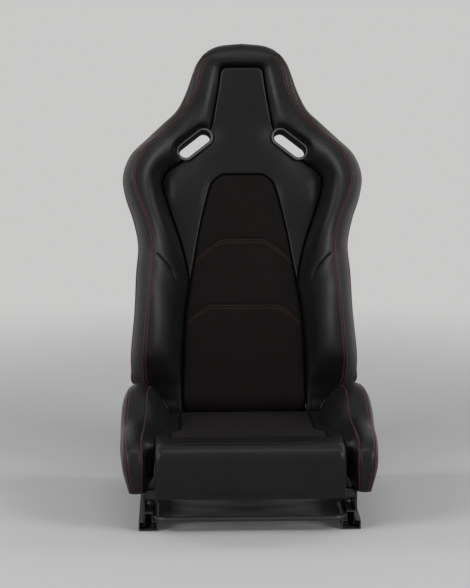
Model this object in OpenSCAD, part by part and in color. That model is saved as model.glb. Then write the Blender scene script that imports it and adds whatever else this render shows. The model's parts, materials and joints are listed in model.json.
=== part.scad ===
// Reclining sports seat on sliding rails.
// X runs across the seat, -Y is the front, Z is up. The origin is the centre of the
// floor bolt pattern, at the underside of the rails. The backrest is drawn in its own
// frame: u across, s up the back from the recline axis, n forward out of the back.

/* [Rails] */
// Distance between the two rails, centre to centre
rail_gauge = 430; // [410:2:440]
// Length of a lower rail
rail_l = 430; // [400:2:470]
// Length of an upper rail
upper_rail_l = 390; // [360:2:400]
// Width of a lower rail
rail_w = 40; // [38:1:44]
// Height of a lower rail
rail_h = 20; // [18:1:24]
// Height of the upper rails' top face above the floor
rail_top = 42; // [40:1:46]
// Thickness of the rail sheet
rail_sheet = 2; // [1.6:0.2:2.4]
// Distance between the front and rear floor holes
floor_pitch = 340; // [300:5:370]
// Diameter of a floor hole
floor_hole = 8.5; // [8.5:0.5:10.5]

/* [Slide latch] */
// Distance of the latch pivot in front of the middle of the seat
latch_y = 60; // [50:1:80]
// Diameter of the release bar
bar_d = 12; // [10:1:14]
// Pitch of the slots along the lower rails
slot_pitch = 10; // [9:0.5:12]

/* [Base frame] */
// Thickness of a base side plate
plate_t = 3.5; // [3:0.5:4]
// Height of the side plates' straight top edge above the floor
plate_z = 118; // [112:1:119]
// Diameter of the cross tubes
tube_d = 25; // [22:1:27]
// Wall of the cross tubes
tube_wall = 2; // [1.5:0.5:3]
// Diameter of the seat spring wire
wire_d = 3.2; // [2.8:0.2:3.6]
// Number of seat springs
spring_count = 4; // [3:1:5]

/* [Seat base] */
// Overall width of the seat base
base_w = 550; // [530:2:570]
// Width of the cushion between the bolsters
cushion_w = 400; // [390:2:404]
// Distance of the front roll's face in front of the middle of the seat
cushion_front = 272; // [262:1:285]
// Height of the front roll above the floor
cushion_z = 194; // [186:1:204]
// Height of the cushion's back edge above the floor
bite_z = 169; // [165:1:171]
// Height of the base bolsters above the floor
bolster_z = 266; // [250:1:272]

/* [Recliner] */
// Distance of the recline axis behind the middle of the seat
hinge_y = 205; // [198:1:215]
// Height of the recline axis above the floor
hinge_z = 159; // [152:1:164]
// Lean of the backrest from upright
lean = 15; // [10:1:20]
// Diameter of the recliner discs
disc_d = 76; // [70:1:80]
// Diameter of the recliner cross shaft
shaft_d = 12; // [10:1:14]
// Diameter of a recliner knob
knob_d = 68; // [56:1:76]

/* [Backrest] */
// Height of the backrest above the recline axis
back_h = 845; // [800:5:880]
// Width across the shoulders
shoulder_w = 550; // [530:2:570]
// Depth from the shell's rear face to the front of the insert
back_t = 55; // [50:1:56]
// Depth from the shell's rear face to the wing ridges
wing_t = 140; // [120:1:145]
// Thickness of the shell
shell_t = 4; // [3:0.5:5]
// Gap at the seams between the upholstered panels
seam = 1.5; // [1:0.1:2]

/* [Harness slots] */
// Distance between the centres of the two slots
slot_gap = 220; // [210:2:230]
// Length of a slot between its end centres
slot_l = 53; // [44:1:58]
// Width of a slot through its bezel
slot_w = 31; // [26:1:34]
// Width of the bezel's rim
rim_w = 5.6; // [4:0.1:6]
// Slope of the slots, lower towards the outside
slot_slope = 38; // [30:1:42]

/* [Hidden] */

$fn = 48;
eps = 0.01;
gap = 0.4;      // between a soft piece and what carries it
ease = 0.65;    // more room where two curved pieces lie on each other
run = 0.5;      // between pieces that move past each other
fit = 0.05;     // radial clearance of a shaft in its bore
past = 40;      // how far a cutter runs past what it cuts
beyond = 500;   // further than half the seat reaches from the recline axis, either way

// --- Rails ---------------------------------------------------------------------------
rail_x = rail_gauge / 2;
lip_w = rail_w / 4;
slot_half = rail_w / 2 - lip_w;
hat_w = 2 * (slot_half - 1);
foot_w = rail_w - 2 * rail_sheet - 3;
foot_z = rail_sheet + 3;
latch_z = rail_h + 11;
lip_x = rail_x - rail_w / 2 + lip_w / 2;
pin_r = 4;
bar_x = rail_x - hat_w / 2 - bar_d / 2 - 3 * run;   // side legs of the release bar
bar_z = latch_z;
bar_y = -(upper_rail_l / 2 + 40);
bar_bend = 24;
comb_y = -latch_y - 55;
teeth = 4;

// --- Base frame ----------------------------------------------------------------------
plate_x = max(rail_x + 7, cushion_w / 2 + 1);   // inner face of a side plate
plate_front = -(cushion_front - 42);
tube_z = plate_z - 38;
front_tube_y = -(cushion_front - 57);
rear_tube_y = hinge_y - 55;
wire_z = tube_z + (tube_d + wire_d) / 2 + 0.2;
clip_r = tube_d / 2 + wire_d + 2;
foam_z = tube_z + clip_r + gap;             // underside of the cushion foam

// --- Recliner stack, from the side plate inwards -----------------------------------------
disc_t = 6;
base_disc_x = plate_x - disc_t - 0.2;
disc_x = base_disc_x - disc_t;
arm_t = 4;
arm_x = disc_x - arm_t - 0.1;
disc_r = disc_d / 2;
shaft_r = shaft_d / 2;
cover_x = plate_x + plate_t + 3.5;
cover_d = 20;
cover_wall = 2.5;
cover_r = disc_r + 12;
knob_x = cover_x + cover_d + 1;
knob_t = 22;

// --- Backrest frame ----------------------------------------------------------------------
ku = shoulder_w / 550;
ks = back_h / 845;
kn = wing_t / 140;
shell_gap = shell_t + gap + ease;

function lerp(a, b, t) = a + (b - a) * t;
function clamp01(t) = max(0, min(1, t));

// Point t of a smooth curve through b and c, with a and d as its neighbours
function curve_point(a, b, c, d, t) =
    0.5 * ((2 * b) + (c - a) * t + (2 * a - 5 * b + 4 * c - d) * t * t
    + (3 * b - a - 3 * c + d) * t * t * t);

// Smooth curve through the points of list p, with n steps from each to the next
function curve(p, n) = concat(
    [for (i = [0:len(p) - 2]) for (j = [0:n - 1])
        curve_point(p[max(i - 1, 0)], p[i], p[i + 1], p[min(i + 2, len(p) - 1)], j / n)],
    [p[len(p) - 1]]);

function reversed(p) = [for (i = [len(p) - 1:-1:0]) p[i]];
function mirrored(p) = [for (q = p) [-q[0], q[1]]];

// How far the middle of the shell stands forward of a flat back, by height
sway = curve([for (q = [[-60, 0], [0, 0], [80, 6], [170, 12], [290, 7], [400, 0],
    [520, 0], [640, 6], [740, 15], [860, 25]]) q * ks], 4);
function back_n(s) = lookup(s, sway);

// Front face of the insert and the yoke. Below the recline axis it is a part of a circle
// about that axis.
function face_n(s) = s < 0 ? sqrt(max(0, back_t * back_t - s * s)) : back_t + back_n(s);

// Bolster stations up the right side: groove (u, s), ridge (u, s, share of the wing
// depth), outer edge (u, s, depth). The last three turn over the head.
wing_stations = [
    [[142, -42], [170, -42, 0], [194, -42, 34]],
    [[142, 0], [172, 0, 0], [200, 0, 56]],
    [[142, 24], [190, 28, 0.05], [205, 43, 58]],
    [[142, 50], [221, 58, 0.25], [254, 62, 56]],
    [[142, 80], [227, 90, 0.6], [258, 94, 62]],
    [[141, 135], [226, 135, 0.93], [258, 135, 65]],
    [[133, 236], [217, 236, 1], [250, 224, 65]],
    [[124.5, 288], [206, 330, 0.98], [246, 312, 65]],
    [[131, 336], [205, 376, 0.96], [241, 378, 65]],
    [[146, 394], [220, 437, 0.93], [252, 436, 65]],
    [[170, 464], [243, 494, 0.87], [270, 492, 65]],
    [[186, 524], [249, 542, 0.8], [275, 540, 65]],
    [[171, 555], [225, 596, 0.66], [257, 588, 64]],
    [[139, 576], [180, 638, 0.47], [217, 628, 62]],
    [[110, 613.5], [146, 669, 0.38], [182, 661, 60]],
    [[76, 644], [122, 704, 0.3], [150, 692, 60]],
    [[62, 702], [105, 740, 0.26], [128, 734, 60]],
    [[54, 749], [96, 774, 0.22], [112, 779, 62]],
    [[50.5, 778], [87, 796, 0.2], [101, 803, 63]],
    [[47, 788.5], [74, 811, 0.195], [81, 826, 64]],
    [[36, 793.5], [45, 817, 0.19], [52, 840, 65]],
    [[0, 793.5], [0, 819, 0.19], [0, 845, 66]]
];
tip_station = 7;    // station at the lower tip of the yoke
wing_last = 14;     // station at which the wing ends and the headrest roll begins

// The wings keep their width beside the recliners and take the shoulders' above them
function widened(q) = [q[0] * lerp(1, ku, clamp01((q[1] - 40) / 60)), q[1] * ks];
function scaled(st) = concat(
    widened(st[0]),
    widened(st[1]), lerp(face_n(st[1][1] * ks), wing_t, st[1][2]),
    widened(st[2]), st[2][2] * kn + back_n(st[2][1] * ks) - 4);
stations = [for (st = wing_stations) scaled(st)];
steps = 3;
dense = curve(stations, steps);
rim = [for (d = dense) [d[6], d[5]]];
function rim_u(s) = lookup(s, rim);

// Half-width of the shell's flat middle, and how far its rim stands forward of it
flat_part = concat([[-60 * ks, arm_x + 8], [210 * ks, arm_x + 8]],
    [for (q = [[300, 150], [400, 150], [545, 180], [600, 130], [690, 70], [800, 50],
        [845, 10]]) [q[0] * ks, q[1] * ku]]);
rim_rise = [for (q = [[60, 4], [120, 28], [150, 30], [560, 30], [660, 20], [845, 10]])
    q * ks];
rim_min = 24;       // least width over which the rim rises
function shell_n(u, s) =
    let (a = lookup(s, flat_part), b = rim_u(s))
    back_n(s) + lookup(s, rim_rise) * pow(clamp01((abs(u) - a) / max(b - a, rim_min)), 1.6);

// Outline of the back insert, right half, from the bottom up to its top edge
insert_top = 544 * ks;
insert_edge = [for (q = concat(
    [[142, -60], [142, 100]],
    curve([[141, 143], [138, 193], [132, 242], [115, 335], [99, 422], [77.5, 507],
        [66, 530]], 3),
    [[46, 544]])) [q[0] * ku, q[1] * ks]];
// Seams across the insert: half-width of the level part, its height, height at the edge
upper_seam = [57 * ku, 395 * ks, 342 * ks];
lower_seam = [86 * ku, 242.5 * ks, 200 * ks];
seam_end = 114 * ku;        // half-width at which a seam reaches its height at the edge
insert_half = 150 * ku;     // half-width that takes in the whole insert

// Harness slots
slot_r = slot_w / 2;
slot_s = 613.5 * ks;
slot_u = slot_gap / 2;

module back_frame() {
    translate([0, hinge_y, hinge_z]) rotate([-lean, 0, 0]) children();
}

// Draws an outline in u and s as a solid from depth n0 to depth n1
module back_prism(n0, n1) {
    translate([0, -n0, 0]) rotate([90, 0, 0]) linear_extrude(n1 - n0) children();
}

// Draws a side view, in y and z, as a solid from x0 to x1
module side_prism(x0, x1) {
    translate([x0, 0, 0]) rotate([90, 0, 90]) linear_extrude(x1 - x0) children();
}

// Solid between a front and a back chain of points, carried through a list of stations.
// Each station is [front chain, back chain].
module loft(rows) {
    k = len(rows[0][0]);
    m = 2 * k;
    n = len(rows);
    pts = [for (r = rows) each concat(r[0], reversed(r[1]))];
    sides = [for (i = [0:n - 2]) for (j = [0:m - 1])
        let (a = i * m + j, b = i * m + (j + 1) % m)
        each [[a, b + m, b], [a, a + m, b + m]]];
    cap = [for (j = [0:k - 2]) each [[j, j + 1, m - 1 - j], [j + 1, m - 2 - j, m - 1 - j]]];
    last = (n - 1) * m;
    far = [for (f = cap) [last + f[2], last + f[1], last + f[0]]];
    polyhedron(pts, concat(cap, sides, far), convexity = 8);
}

// Round wire of radius r along a list of points, in a plane that holds no part of side
module wire(path, r, side, faces = 6) {
    n = len(path);
    function dir(i) = let (v = path[min(i + 1, n - 1)] - path[max(i - 1, 0)]) v / norm(v);
    pts = [for (i = [0:n - 1])
        let (t = dir(i), a = side - (side * t) * t, b = a / norm(a), c = cross(t, b))
        for (j = [0:faces - 1])
            path[i] + r * (b * cos(360 * j / faces) + c * sin(360 * j / faces))];
    sides = [for (i = [0:n - 2]) for (j = [0:faces - 1])
        let (p = i * faces + j, q = i * faces + (j + 1) % faces)
        each [[p, q + faces, q], [p, p + faces, q + faces]]];
    ends = [[for (j = [0:faces - 1]) j],
        [for (j = [faces - 1:-1:0]) (n - 1) * faces + j]];
    polyhedron(pts, concat(ends, sides), convexity = 10);
}

module left() { mirror([1, 0, 0]) children(); }

// The part of a shape on the right side of the backrest
module right_half() {
    intersection() {
        children();
        translate([0, -beyond, 0]) cube(2 * beyond);
    }
}

// --- Rails ---------------------------------------------------------------------------

module rail_channel() {
    w = rail_w / 2;
    rotate([90, 0, 0]) linear_extrude(rail_l, center = true) polygon([
        [-w, 0], [w, 0], [w, rail_h], [slot_half, rail_h], [slot_half, rail_h - rail_sheet],
        [w - rail_sheet, rail_h - rail_sheet], [w - rail_sheet, rail_sheet],
        [-w + rail_sheet, rail_sheet], [-w + rail_sheet, rail_h - rail_sheet],
        [-slot_half, rail_h - rail_sheet], [-slot_half, rail_h], [-w, rail_h]]);
}

module lower_rail() {
    slots = floor((rail_l / 2 - 20) / slot_pitch);
    color("dimgray") translate([rail_x, 0, 0]) difference() {
        rail_channel();
        for (y = [-1, 1])
            translate([0, y * floor_pitch / 2, -eps])
                cylinder(d = floor_hole, h = rail_sheet + 2 * eps);
        for (i = [0:slots])
            translate([lip_x - rail_x - lip_w / 4, -20 - i * slot_pitch,
                rail_h - rail_sheet - eps])
                translate([0, -slot_pitch / 4, 0])
                    cube([lip_w / 2, slot_pitch / 2, rail_sheet + 2 * eps]);
    }
}

module upper_rail() {
    h = hat_w / 2;
    f = foot_w / 2;
    t = rail_sheet;
    color("dimgray") difference() {
        translate([rail_x, 0, 0]) rotate([90, 0, 0])
            linear_extrude(upper_rail_l, center = true) polygon([
                [-f, foot_z], [-h + t, foot_z], [-h + t, rail_top - t],
                [h - t, rail_top - t], [h - t, foot_z], [f, foot_z], [f, foot_z + t],
                [h, foot_z + t], [h, rail_top], [-h, rail_top], [-h, foot_z + t],
                [-f, foot_z + t]]);
        for (y = rail_bolt_ys)
            translate([rail_x, y, rail_top - t - eps])
                cylinder(d = 8.4, h = t + 2 * eps);
        translate([rail_x - h - eps, -latch_y, latch_z]) rotate([0, 90, 0])
            cylinder(r = pin_r + fit, h = t + 2 * eps);
    }
}
rail_bolt_ys = [-upper_rail_l / 2 + 30, upper_rail_l / 2 - 30];

// Nylon shoes under the feet of an upper rail
module rail_glides() {
    shoe = 36;
    color("ivory") for (y = [-1, 1]) for (x = [-1, 1])
        translate([rail_x + x * (hat_w / 2 + foot_w / 2) / 2,
            y * (upper_rail_l / 2 - shoe), 0])
            translate([-(foot_w - hat_w) / 4, -shoe / 2, rail_sheet + run])
                cube([(foot_w - hat_w) / 2, shoe, foot_z - rail_sheet - run]);
}

// --- Slide latch -------------------------------------------------------------------------

// U-shaped handle bar with a latch arm at each end
module release_bar() {
    r = bar_d / 2;
    half = bar_x - bar_bend;
    back = bar_y + bar_bend;
    plate_end = -latch_y - 90;
    color("black") {
        translate([-half, bar_y, bar_z]) rotate([0, 90, 0]) cylinder(r = r, h = 2 * half);
        for (k = [0, 1]) mirror([k, 0, 0]) {
            translate([half, back, bar_z]) rotate([0, 0, -90])
                rotate_extrude(angle = 90) translate([bar_bend, 0]) circle(r = r);
            translate([bar_x, back, bar_z]) rotate([-90, 0, 0])
                cylinder(r = r, h = plate_end + 20 - back);
            latch_arm(plate_end);
        }
    }
}

module latch_arm(front) {
    t = 3;
    difference() {
        union() {
            side_prism(lip_x - t / 2, lip_x + t / 2) union() {
                translate([-latch_y, latch_z]) circle(r = 9);
                translate([front, latch_z - 5]) square([-latch_y - front, 10]);
            }
            translate([lip_x - t / 2, comb_y - (teeth - 0.5) * slot_pitch / 2,
                rail_h + run + 2])
                cube([t, (teeth - 0.5) * slot_pitch, latch_z - rail_h - run - 6]);
            for (i = [0:teeth - 1])
                translate([lip_x - t / 2, comb_y + (i - (teeth - 0.5) / 2) * slot_pitch,
                    rail_h + run])
                    cube([t, slot_pitch / 2 - 1, 4]);
        }
        translate([lip_x - t, -latch_y, latch_z]) rotate([0, 90, 0])
            cylinder(r = pin_r + fit, h = 2 * t);
    }
}

module latch_pins() {
    inner = rail_x - hat_w / 2;
    color("silver") for (k = [0, 1]) mirror([k, 0, 0])
        translate([lip_x - 10, -latch_y, latch_z]) rotate([0, 90, 0]) {
            cylinder(r = pin_r, h = inner + rail_sheet - lip_x + 10);
            cylinder(r = pin_r + 2, h = 1.6);
        }
}

// Torsion springs round the latch pins
module latch_springs() {
    turns = 3;
    r = pin_r + 1.4;
    pitch = 1.7;
    color("silver") for (k = [0, 1]) mirror([k, 0, 0])
        translate([lip_x - 7.8, -latch_y, latch_z])
            wire([for (a = [0:30:360 * turns])
                [a / 360 * pitch, r * cos(a), r * sin(a)]], 0.6, [1, 0, 0]);
}

// --- Base frame ------------------------------------------------------------------------

module plate_outline() {
    foot = rail_top;
    rear = hinge_y + disc_r - 14;
    difference() {
        union() {
            polygon([[plate_front, foot], [plate_front, plate_z - 24],
                [plate_front + 26, plate_z], [bolster_rear + 3, plate_z],
                [hinge_y - disc_r - 2, hinge_z + 6], [hinge_y + disc_r, hinge_z],
                [rear, foot + 40], [rear - 8, foot]]);
            translate([hinge_y, hinge_z]) circle(r = disc_r + 3);
        }
        translate([hinge_y, hinge_z]) circle(r = shaft_r + 0.5);
        for (i = [0:3])
            translate([plate_front + 80 + 60 * i, (foot + plate_z) / 2 + 2]) circle(d = 38);
    }
}

module side_plate() {
    flange_w = plate_x - bar_x - bar_d / 2 - run;
    color("black") difference() {
        union() {
            side_prism(plate_x, plate_x + plate_t) plate_outline();
            translate([plate_x + eps - flange_w, plate_front, rail_top])
                cube([flange_w, hinge_y + disc_r - 22 - plate_front, plate_t]);
        }
        for (y = rail_bolt_ys)
            translate([rail_x, y, rail_top - 1]) cylinder(d = 8.4, h = plate_t + 2);
    }
}

module cross_tube(y) {
    color("black") translate([-plate_x, y, tube_z]) rotate([0, 90, 0]) difference() {
        cylinder(d = tube_d, h = 2 * plate_x);
        translate([0, 0, -eps]) cylinder(d = tube_d - 2 * tube_wall, h = 2 * plate_x + 2 * eps);
    }
}

module front_cross_tube() { cross_tube(front_tube_y); }
module rear_cross_tube() { cross_tube(rear_tube_y); }

spring_xs = [for (i = [0:spring_count - 1])
    (i - (spring_count - 1) / 2) * (cushion_w - 60) / spring_count];

// Zigzag springs that carry the cushion from tube to tube
module seat_springs() {
    waves = 7;
    swing = 24;
    run_l = rear_tube_y - front_tube_y;
    color("gray") for (x = spring_xs)
        wire([for (i = [0:8 * waves])
            [x + swing * sin(i * 45) * clamp01(min(i - 3, 8 * waves - i - 3) / 4),
                front_tube_y + run_l * i / (8 * waves), wire_z]], wire_d / 2, [0, 0, 1]);
}

// Plastic clips that hold the spring ends on the tubes
module spring_clips() {
    slit = wire_d + 0.6;
    color("ivory") for (x = spring_xs) for (y = [front_tube_y, rear_tube_y])
        translate([x, y, tube_z]) difference() {
            translate([-7, 0, 0]) rotate([0, 90, 0]) cylinder(r = clip_r, h = 14);
            translate([-8, 0, 0]) rotate([0, 90, 0]) cylinder(d = tube_d + 0.4, h = 16);
            translate([-8, -tube_d, -tube_d - 3]) cube([16, 2 * tube_d, tube_d]);
            translate([-slit / 2, -tube_d, 0])
                cube([slit, 2 * tube_d, tube_d / 2 + wire_d + 0.5]);
        }
}

module bolt(head_r, head_h, r, l) {
    cylinder(r = head_r, h = head_h, $fn = 6);
    translate([0, 0, -l]) cylinder(r = r, h = l + eps);
}

module rail_bolts() {
    color("silver") for (k = [-1, 1]) for (y = rail_bolt_ys)
        translate([k * rail_x, y, rail_top + plate_t]) bolt(6, 5.3, 4, plate_t + 6);
}

// --- Seat base upholstery ----------------------------------------------------------------

bite_r = back_t + 6;
function bite_y(z) = hinge_y - sqrt(bite_r * bite_r - (z - hinge_z) * (z - hinge_z));

// Top of the cushion along the middle of the seat, from the front roll to the back edge
cushion_line = curve([
    [-cushion_front, cushion_z - 46], [-cushion_front + 4, cushion_z - 16],
    [-cushion_front + 22, cushion_z - 1], [-cushion_front + 55, cushion_z],
    [-cushion_front + 102, cushion_z - 4], [-60, lerp(cushion_z, bite_z, 0.5)],
    [60, bite_z + 5], [bite_y(bite_z) - 12, bite_z + 2], [bite_y(bite_z), bite_z]], 3);

module cushion_side() {
    hem = 84;
    back = [for (z = [bite_z - 6:-6:foam_z]) [bite_y(z), z]];
    polygon(concat(cushion_line, back, [[bite_y(foam_z), foam_z],
        [front_tube_y - tube_d / 2 - 4, foam_z], [front_tube_y - tube_d / 2 - 6, hem],
        [-cushion_front + 8, hem]]));
}

// Plan of the flat insert of the seat: wide front bar and narrower rear part
insert_d = 24;
insert_bar_y = -(cushion_front - 102);
module seat_insert_plan(grow) {
    offset(delta = grow) polygon([
        [-147, 400], [-147, -68], [-167, -104], [-168, insert_bar_y],
        [168, insert_bar_y], [167, -104], [147, -68], [147, 400]]);
}

module seat_cushion() {
    w = cushion_w / 2 - gap;
    color("black") difference() {
        side_prism(-w, w) cushion_side();
        intersection() {
            linear_extrude(bolster_z) seat_insert_plan(seam / 2);
            insert_layer(insert_d + gap, -20);
        }
    }
}

// Layer that follows the top of the cushion from depth d below it to depth e
module insert_layer(d, e) {
    line = [for (q = cushion_line) if (q[0] > insert_bar_y - 30) q];
    last = line[len(line) - 1];
    side_prism(-cushion_w / 2, cushion_w / 2) polygon(concat(
        [for (q = line) [q[0], q[1] - e]], [[last[0] + 20, last[1] - e]],
        [[last[0] + 20, last[1] - d]], [for (q = reversed(line)) [q[0], q[1] - d]]));
}

module seat_insert() {
    color([0.09, 0.08, 0.08]) intersection() {
        linear_extrude(bolster_z) seat_insert_plan(-seam / 2);
        insert_layer(insert_d, 0);
        side_prism(-cushion_w, cushion_w) cushion_side();
    }
}

// Section of a base bolster at distance y: chain over the top and chain underneath
bolster_rear = hinge_y - 92;
function bolster_ridge(y) = lookup(y, curve([
    [-cushion_front + 8, cushion_z - 36], [-cushion_front + 18, cushion_z - 10],
    [-cushion_front + 50, cushion_z + 4], [-110, lerp(cushion_z, bolster_z, 0.24)],
    [-40, lerp(cushion_z, bolster_z, 0.86)], [0, bolster_z],
    [48, bolster_z - 16], [78, bolster_z - 44], [96, bolster_z - 70],
    [bolster_rear, bolster_z - 110]], 4));
function bolster_out(y) = base_w / 2 - lookup(y, [[-cushion_front + 8, 20],
    [-cushion_front + 30, 9], [-cushion_front + 90, 2], [-100, 0], [60, 0],
    [bolster_rear, 6]]);
function cushion_top(y) = lookup(y, cushion_line);
// How far the bolster's inner slope reaches in over the cushion, where it is high enough
function bolster_reach(y) = clamp01((bolster_ridge(y) - cushion_top(y) - 12) / 12)
    * lookup(y, [[-200, 0], [-120, 3.5], [-60, 18], [0, 34], [60, 40], [bolster_rear, 40]]);
// How far its foot draws out from the cushion round the front end
function bolster_taper(y) = lookup(y, [[-cushion_front + 8, 22], [-cushion_front + 20, 12],
    [-cushion_front + 36, 4], [-cushion_front + 56, 0]]);
// Distances of the inner and the outer seam from the bolster's outer face
function seam_in(y) = lookup(y, [[-cushion_front + 24, 44], [-170, 47], [-100, 51],
    [0, 57], [50, 60], [bolster_rear, 58]]);
seam_out = 15;
function bolster_row(y) =
    let (in = cushion_w / 2 + gap, foot = in - bolster_reach(y) + bolster_taper(y),
        skirt = plate_x + plate_t + 3, lid = plate_z + gap, low = 86,
        out = bolster_out(y), top = bolster_ridge(y), a = base_w / 2 - seam_in(y),
        b = out - seam_out, ledge = min(cushion_top(y) + gap + ease, top - 7))
    [[[foot, y, ledge + 2.5], [lerp(foot, a, 0.3), y, lerp(ledge, top, 0.38)],
        [lerp(foot, a, 0.65), y, lerp(ledge, top, 0.8)], [a, y, top - 1.5],
        [lerp(a, b, 0.5), y, top], [b, y, top - 2],
        [lerp(b, out, 0.7), y, lerp(top, low, 0.09)], [out, y, lerp(top, low, 0.38)],
        [out - 3, y, lerp(top, low, 0.68)], [out - 10, y, lerp(top, low, 0.88)],
        [out - 24, y, low]],
    [[foot, y, ledge + 0.3], [in, y, ledge], [in, y, lid], [in + 4, y, lid],
        [in + 10, y, lid], [skirt - 6, y, lid], [skirt - 1, y, lid],
        [skirt, y, lid - 1], [skirt, y, lerp(lid, low, 0.3)],
        [skirt, y, lerp(lid, low, 0.7)], [skirt, y, low]]];
bolster_ys = concat([-cushion_front + 8, -cushion_front + 13, -cushion_front + 20,
    -cushion_front + 32, -cushion_front + 52], [for (k = [1:10])
    lerp(-cushion_front + 52, bolster_rear - 17, k / 10)],
    [bolster_rear - 11, bolster_rear]);

module base_bolster() {
    color("black") loft([for (y = bolster_ys) bolster_row(y)]);
}

// --- Recliner ------------------------------------------------------------------------

module at_hinge(x) {
    translate([x, hinge_y, hinge_z]) rotate([0, 90, 0]) children();
}

module recliner_base() {
    color("silver") at_hinge(base_disc_x) difference() {
        cylinder(r = disc_r, h = disc_t);
        translate([0, 0, -eps]) cylinder(r = shaft_r + fit, h = disc_t + 2 * eps);
    }
}

module recliner_disc() {
    color("gray") at_hinge(disc_x - 0.1) difference() {
        union() {
            cylinder(r = disc_r - 3, h = disc_t - 0.2);
            cylinder(r = disc_r, h = disc_t - 3);
        }
        translate([0, 0, -eps]) cylinder(r = shaft_r + fit, h = disc_t + 2 * eps);
    }
}

// Bracket that carries the shell: a disc plate, a web and a bolting flange
flange_s0 = disc_r + 34;
flange_s1 = flange_s0 + 118;
flange_in = arm_x - 24;
arm_n = shell_n(0, flange_s1) + shell_t;

// Side view of the shell's front face along the flange, d in front of it
function arm_line(d) = [for (i = [0:6]) let (s = lerp(flange_s0, flange_s1, i / 6))
    [-back_n(s) - shell_t - 0.2 - d, s]];

module recliner_arm() {
    color("black") difference() {
        union() {
            at_hinge(arm_x) cylinder(r = disc_r + 1, h = arm_t);
            back_frame() {
                side_prism(arm_x, arm_x + arm_t) polygon(concat(
                    [[-shell_t, disc_r - 3], [-disc_r, 0]],
                    [arm_line(26)[0], arm_line(18)[6]], reversed(arm_line(0)),
                    [[-back_n(disc_r + 5) - shell_t - 0.6, disc_r + 5]]));
                side_prism(flange_in, arm_x + arm_t)
                    polygon(concat(arm_line(0), reversed(arm_line(arm_t))));
            }
        }
        at_hinge(arm_x - eps) cylinder(r = shaft_r + fit, h = arm_t + 2 * eps);
        back_frame() arm_bolt_places() translate([0, 0, -20]) cylinder(r = 4.2, h = 40);
    }
}

// Places of the bolts through flange and shell, with z along n
module arm_bolt_places() {
    for (t = [0.14, 0.5, 0.86])
        let (s = lerp(flange_s0, flange_s1, t), slope = atan((back_n(s + 8) - back_n(s - 8)) / 16))
            translate([flange_in + 12, -back_n(s), s]) rotate([-90 + slope, 0, 0]) children();
}

module arm_bolts() {
    color("silver") for (k = [0, 1]) mirror([k, 0, 0]) back_frame() arm_bolt_places() {
        translate([0, 0, gap]) cylinder(r1 = 7.5, r2 = 5, h = 4.2);
        translate([0, 0, -shell_t - arm_t - 6]) cylinder(r = 4, h = shell_t + arm_t + 7);
        translate([0, 0, -shell_t - arm_t - 6.8]) cylinder(r = 6.5, h = 6, $fn = 6);
    }
}

module recline_shaft() {
    l = knob_x + knob_t - 6;
    color("silver") at_hinge(-l) cylinder(r = shaft_r, h = 2 * l);
}

module recline_knob() {
    r = knob_d / 2;
    grips = 16;
    color("black") at_hinge(knob_x) difference() {
        rotate_extrude() polygon([[0, 0], [r - 2, 0], [r, 2], [r - 1.5, knob_t - 6],
            [r - 6, knob_t - 1], [r - 14, knob_t], [r - 18, knob_t - 2],
            [0, knob_t - 2]]);
        for (i = [0:grips - 1]) rotate([0, 0, i * 360 / grips])
            translate([r + 2.5, 0, 3]) cylinder(r = 4.5, h = knob_t);
        translate([0, 0, -eps]) cylinder(r = shaft_r + fit, h = knob_t - 6 + eps);
    }
}

module cover_outline() {
    low = rail_top + 22;
    front = bolster_rear + 6;
    polygon([[front, low + 8], [front + 8, low], [hinge_y + 24, low],
        [hinge_y + cover_r * 0.86, hinge_z - cover_r * 0.5], [hinge_y, hinge_z],
        [hinge_y - cover_r * 0.94, hinge_z + cover_r * 0.34], [front, hinge_z - 6]]);
    translate([hinge_y, hinge_z]) circle(r = cover_r);
}

cover_screw_places = [[bolster_rear + 22, rail_top + 36], [hinge_y + 16, rail_top + 34]];

module side_cover() {
    color([0.07, 0.07, 0.07]) difference() {
        union() {
            difference() {
                side_prism(cover_x, cover_x + cover_d) cover_outline();
                side_prism(cover_x - 1, cover_x + cover_d - cover_wall)
                    offset(delta = -cover_wall) cover_outline();
            }
            for (p = cover_screw_places)
                translate([plate_x + plate_t + 0.2, p[0], p[1]]) rotate([0, 90, 0])
                    cylinder(r = 7, h = cover_x - plate_x - plate_t + cover_d - 1);
        }
        at_hinge(cover_x) cylinder(r = shaft_r + 1.5, h = cover_d + 1);
        for (p = cover_screw_places)
            translate([plate_x, p[0], p[1]]) rotate([0, 90, 0])
                cylinder(r = 2.6, h = cover_d + 20);
    }
}

module cover_screws() {
    color("silver") for (k = [0, 1]) mirror([k, 0, 0]) for (p = cover_screw_places)
        translate([cover_x + cover_d + 0.1, p[0], p[1]]) rotate([0, 90, 0]) {
            cylinder(r1 = 5, r2 = 3.5, h = 2.4);
            translate([0, 0, -cover_d + 4]) cylinder(r = 2.5, h = cover_d - 3.9);
        }
}

// --- Backrest --------------------------------------------------------------------------

module slot_outline(grow) {
    r = slot_r + grow;
    for (k = [0, 1]) mirror([k, 0]) translate([slot_u, slot_s]) rotate(-slot_slope) {
        translate([-slot_l / 2, -r]) square([slot_l, 2 * r]);
        for (e = [-1, 1]) translate([e * slot_l / 2, 0]) circle(r = r);
    }
}

slot_back = shell_n(slot_u, slot_s);
slot_reach = slot_l / 2 + slot_r + rim_w;
ring_n = min([for (x = [-1, 0, 1]) for (y = [-1, 1])
    shell_n(slot_u + x * slot_reach * cos(slot_slope),
        slot_s - x * slot_reach * sin(slot_slope) + y * slot_r)]) - 0.3;
slot_face = face_n(slot_s);
tube_grow = 2;

module slot_hole(grow) {
    back_prism(-past, wing_t + past) slot_outline(grow);
}

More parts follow.
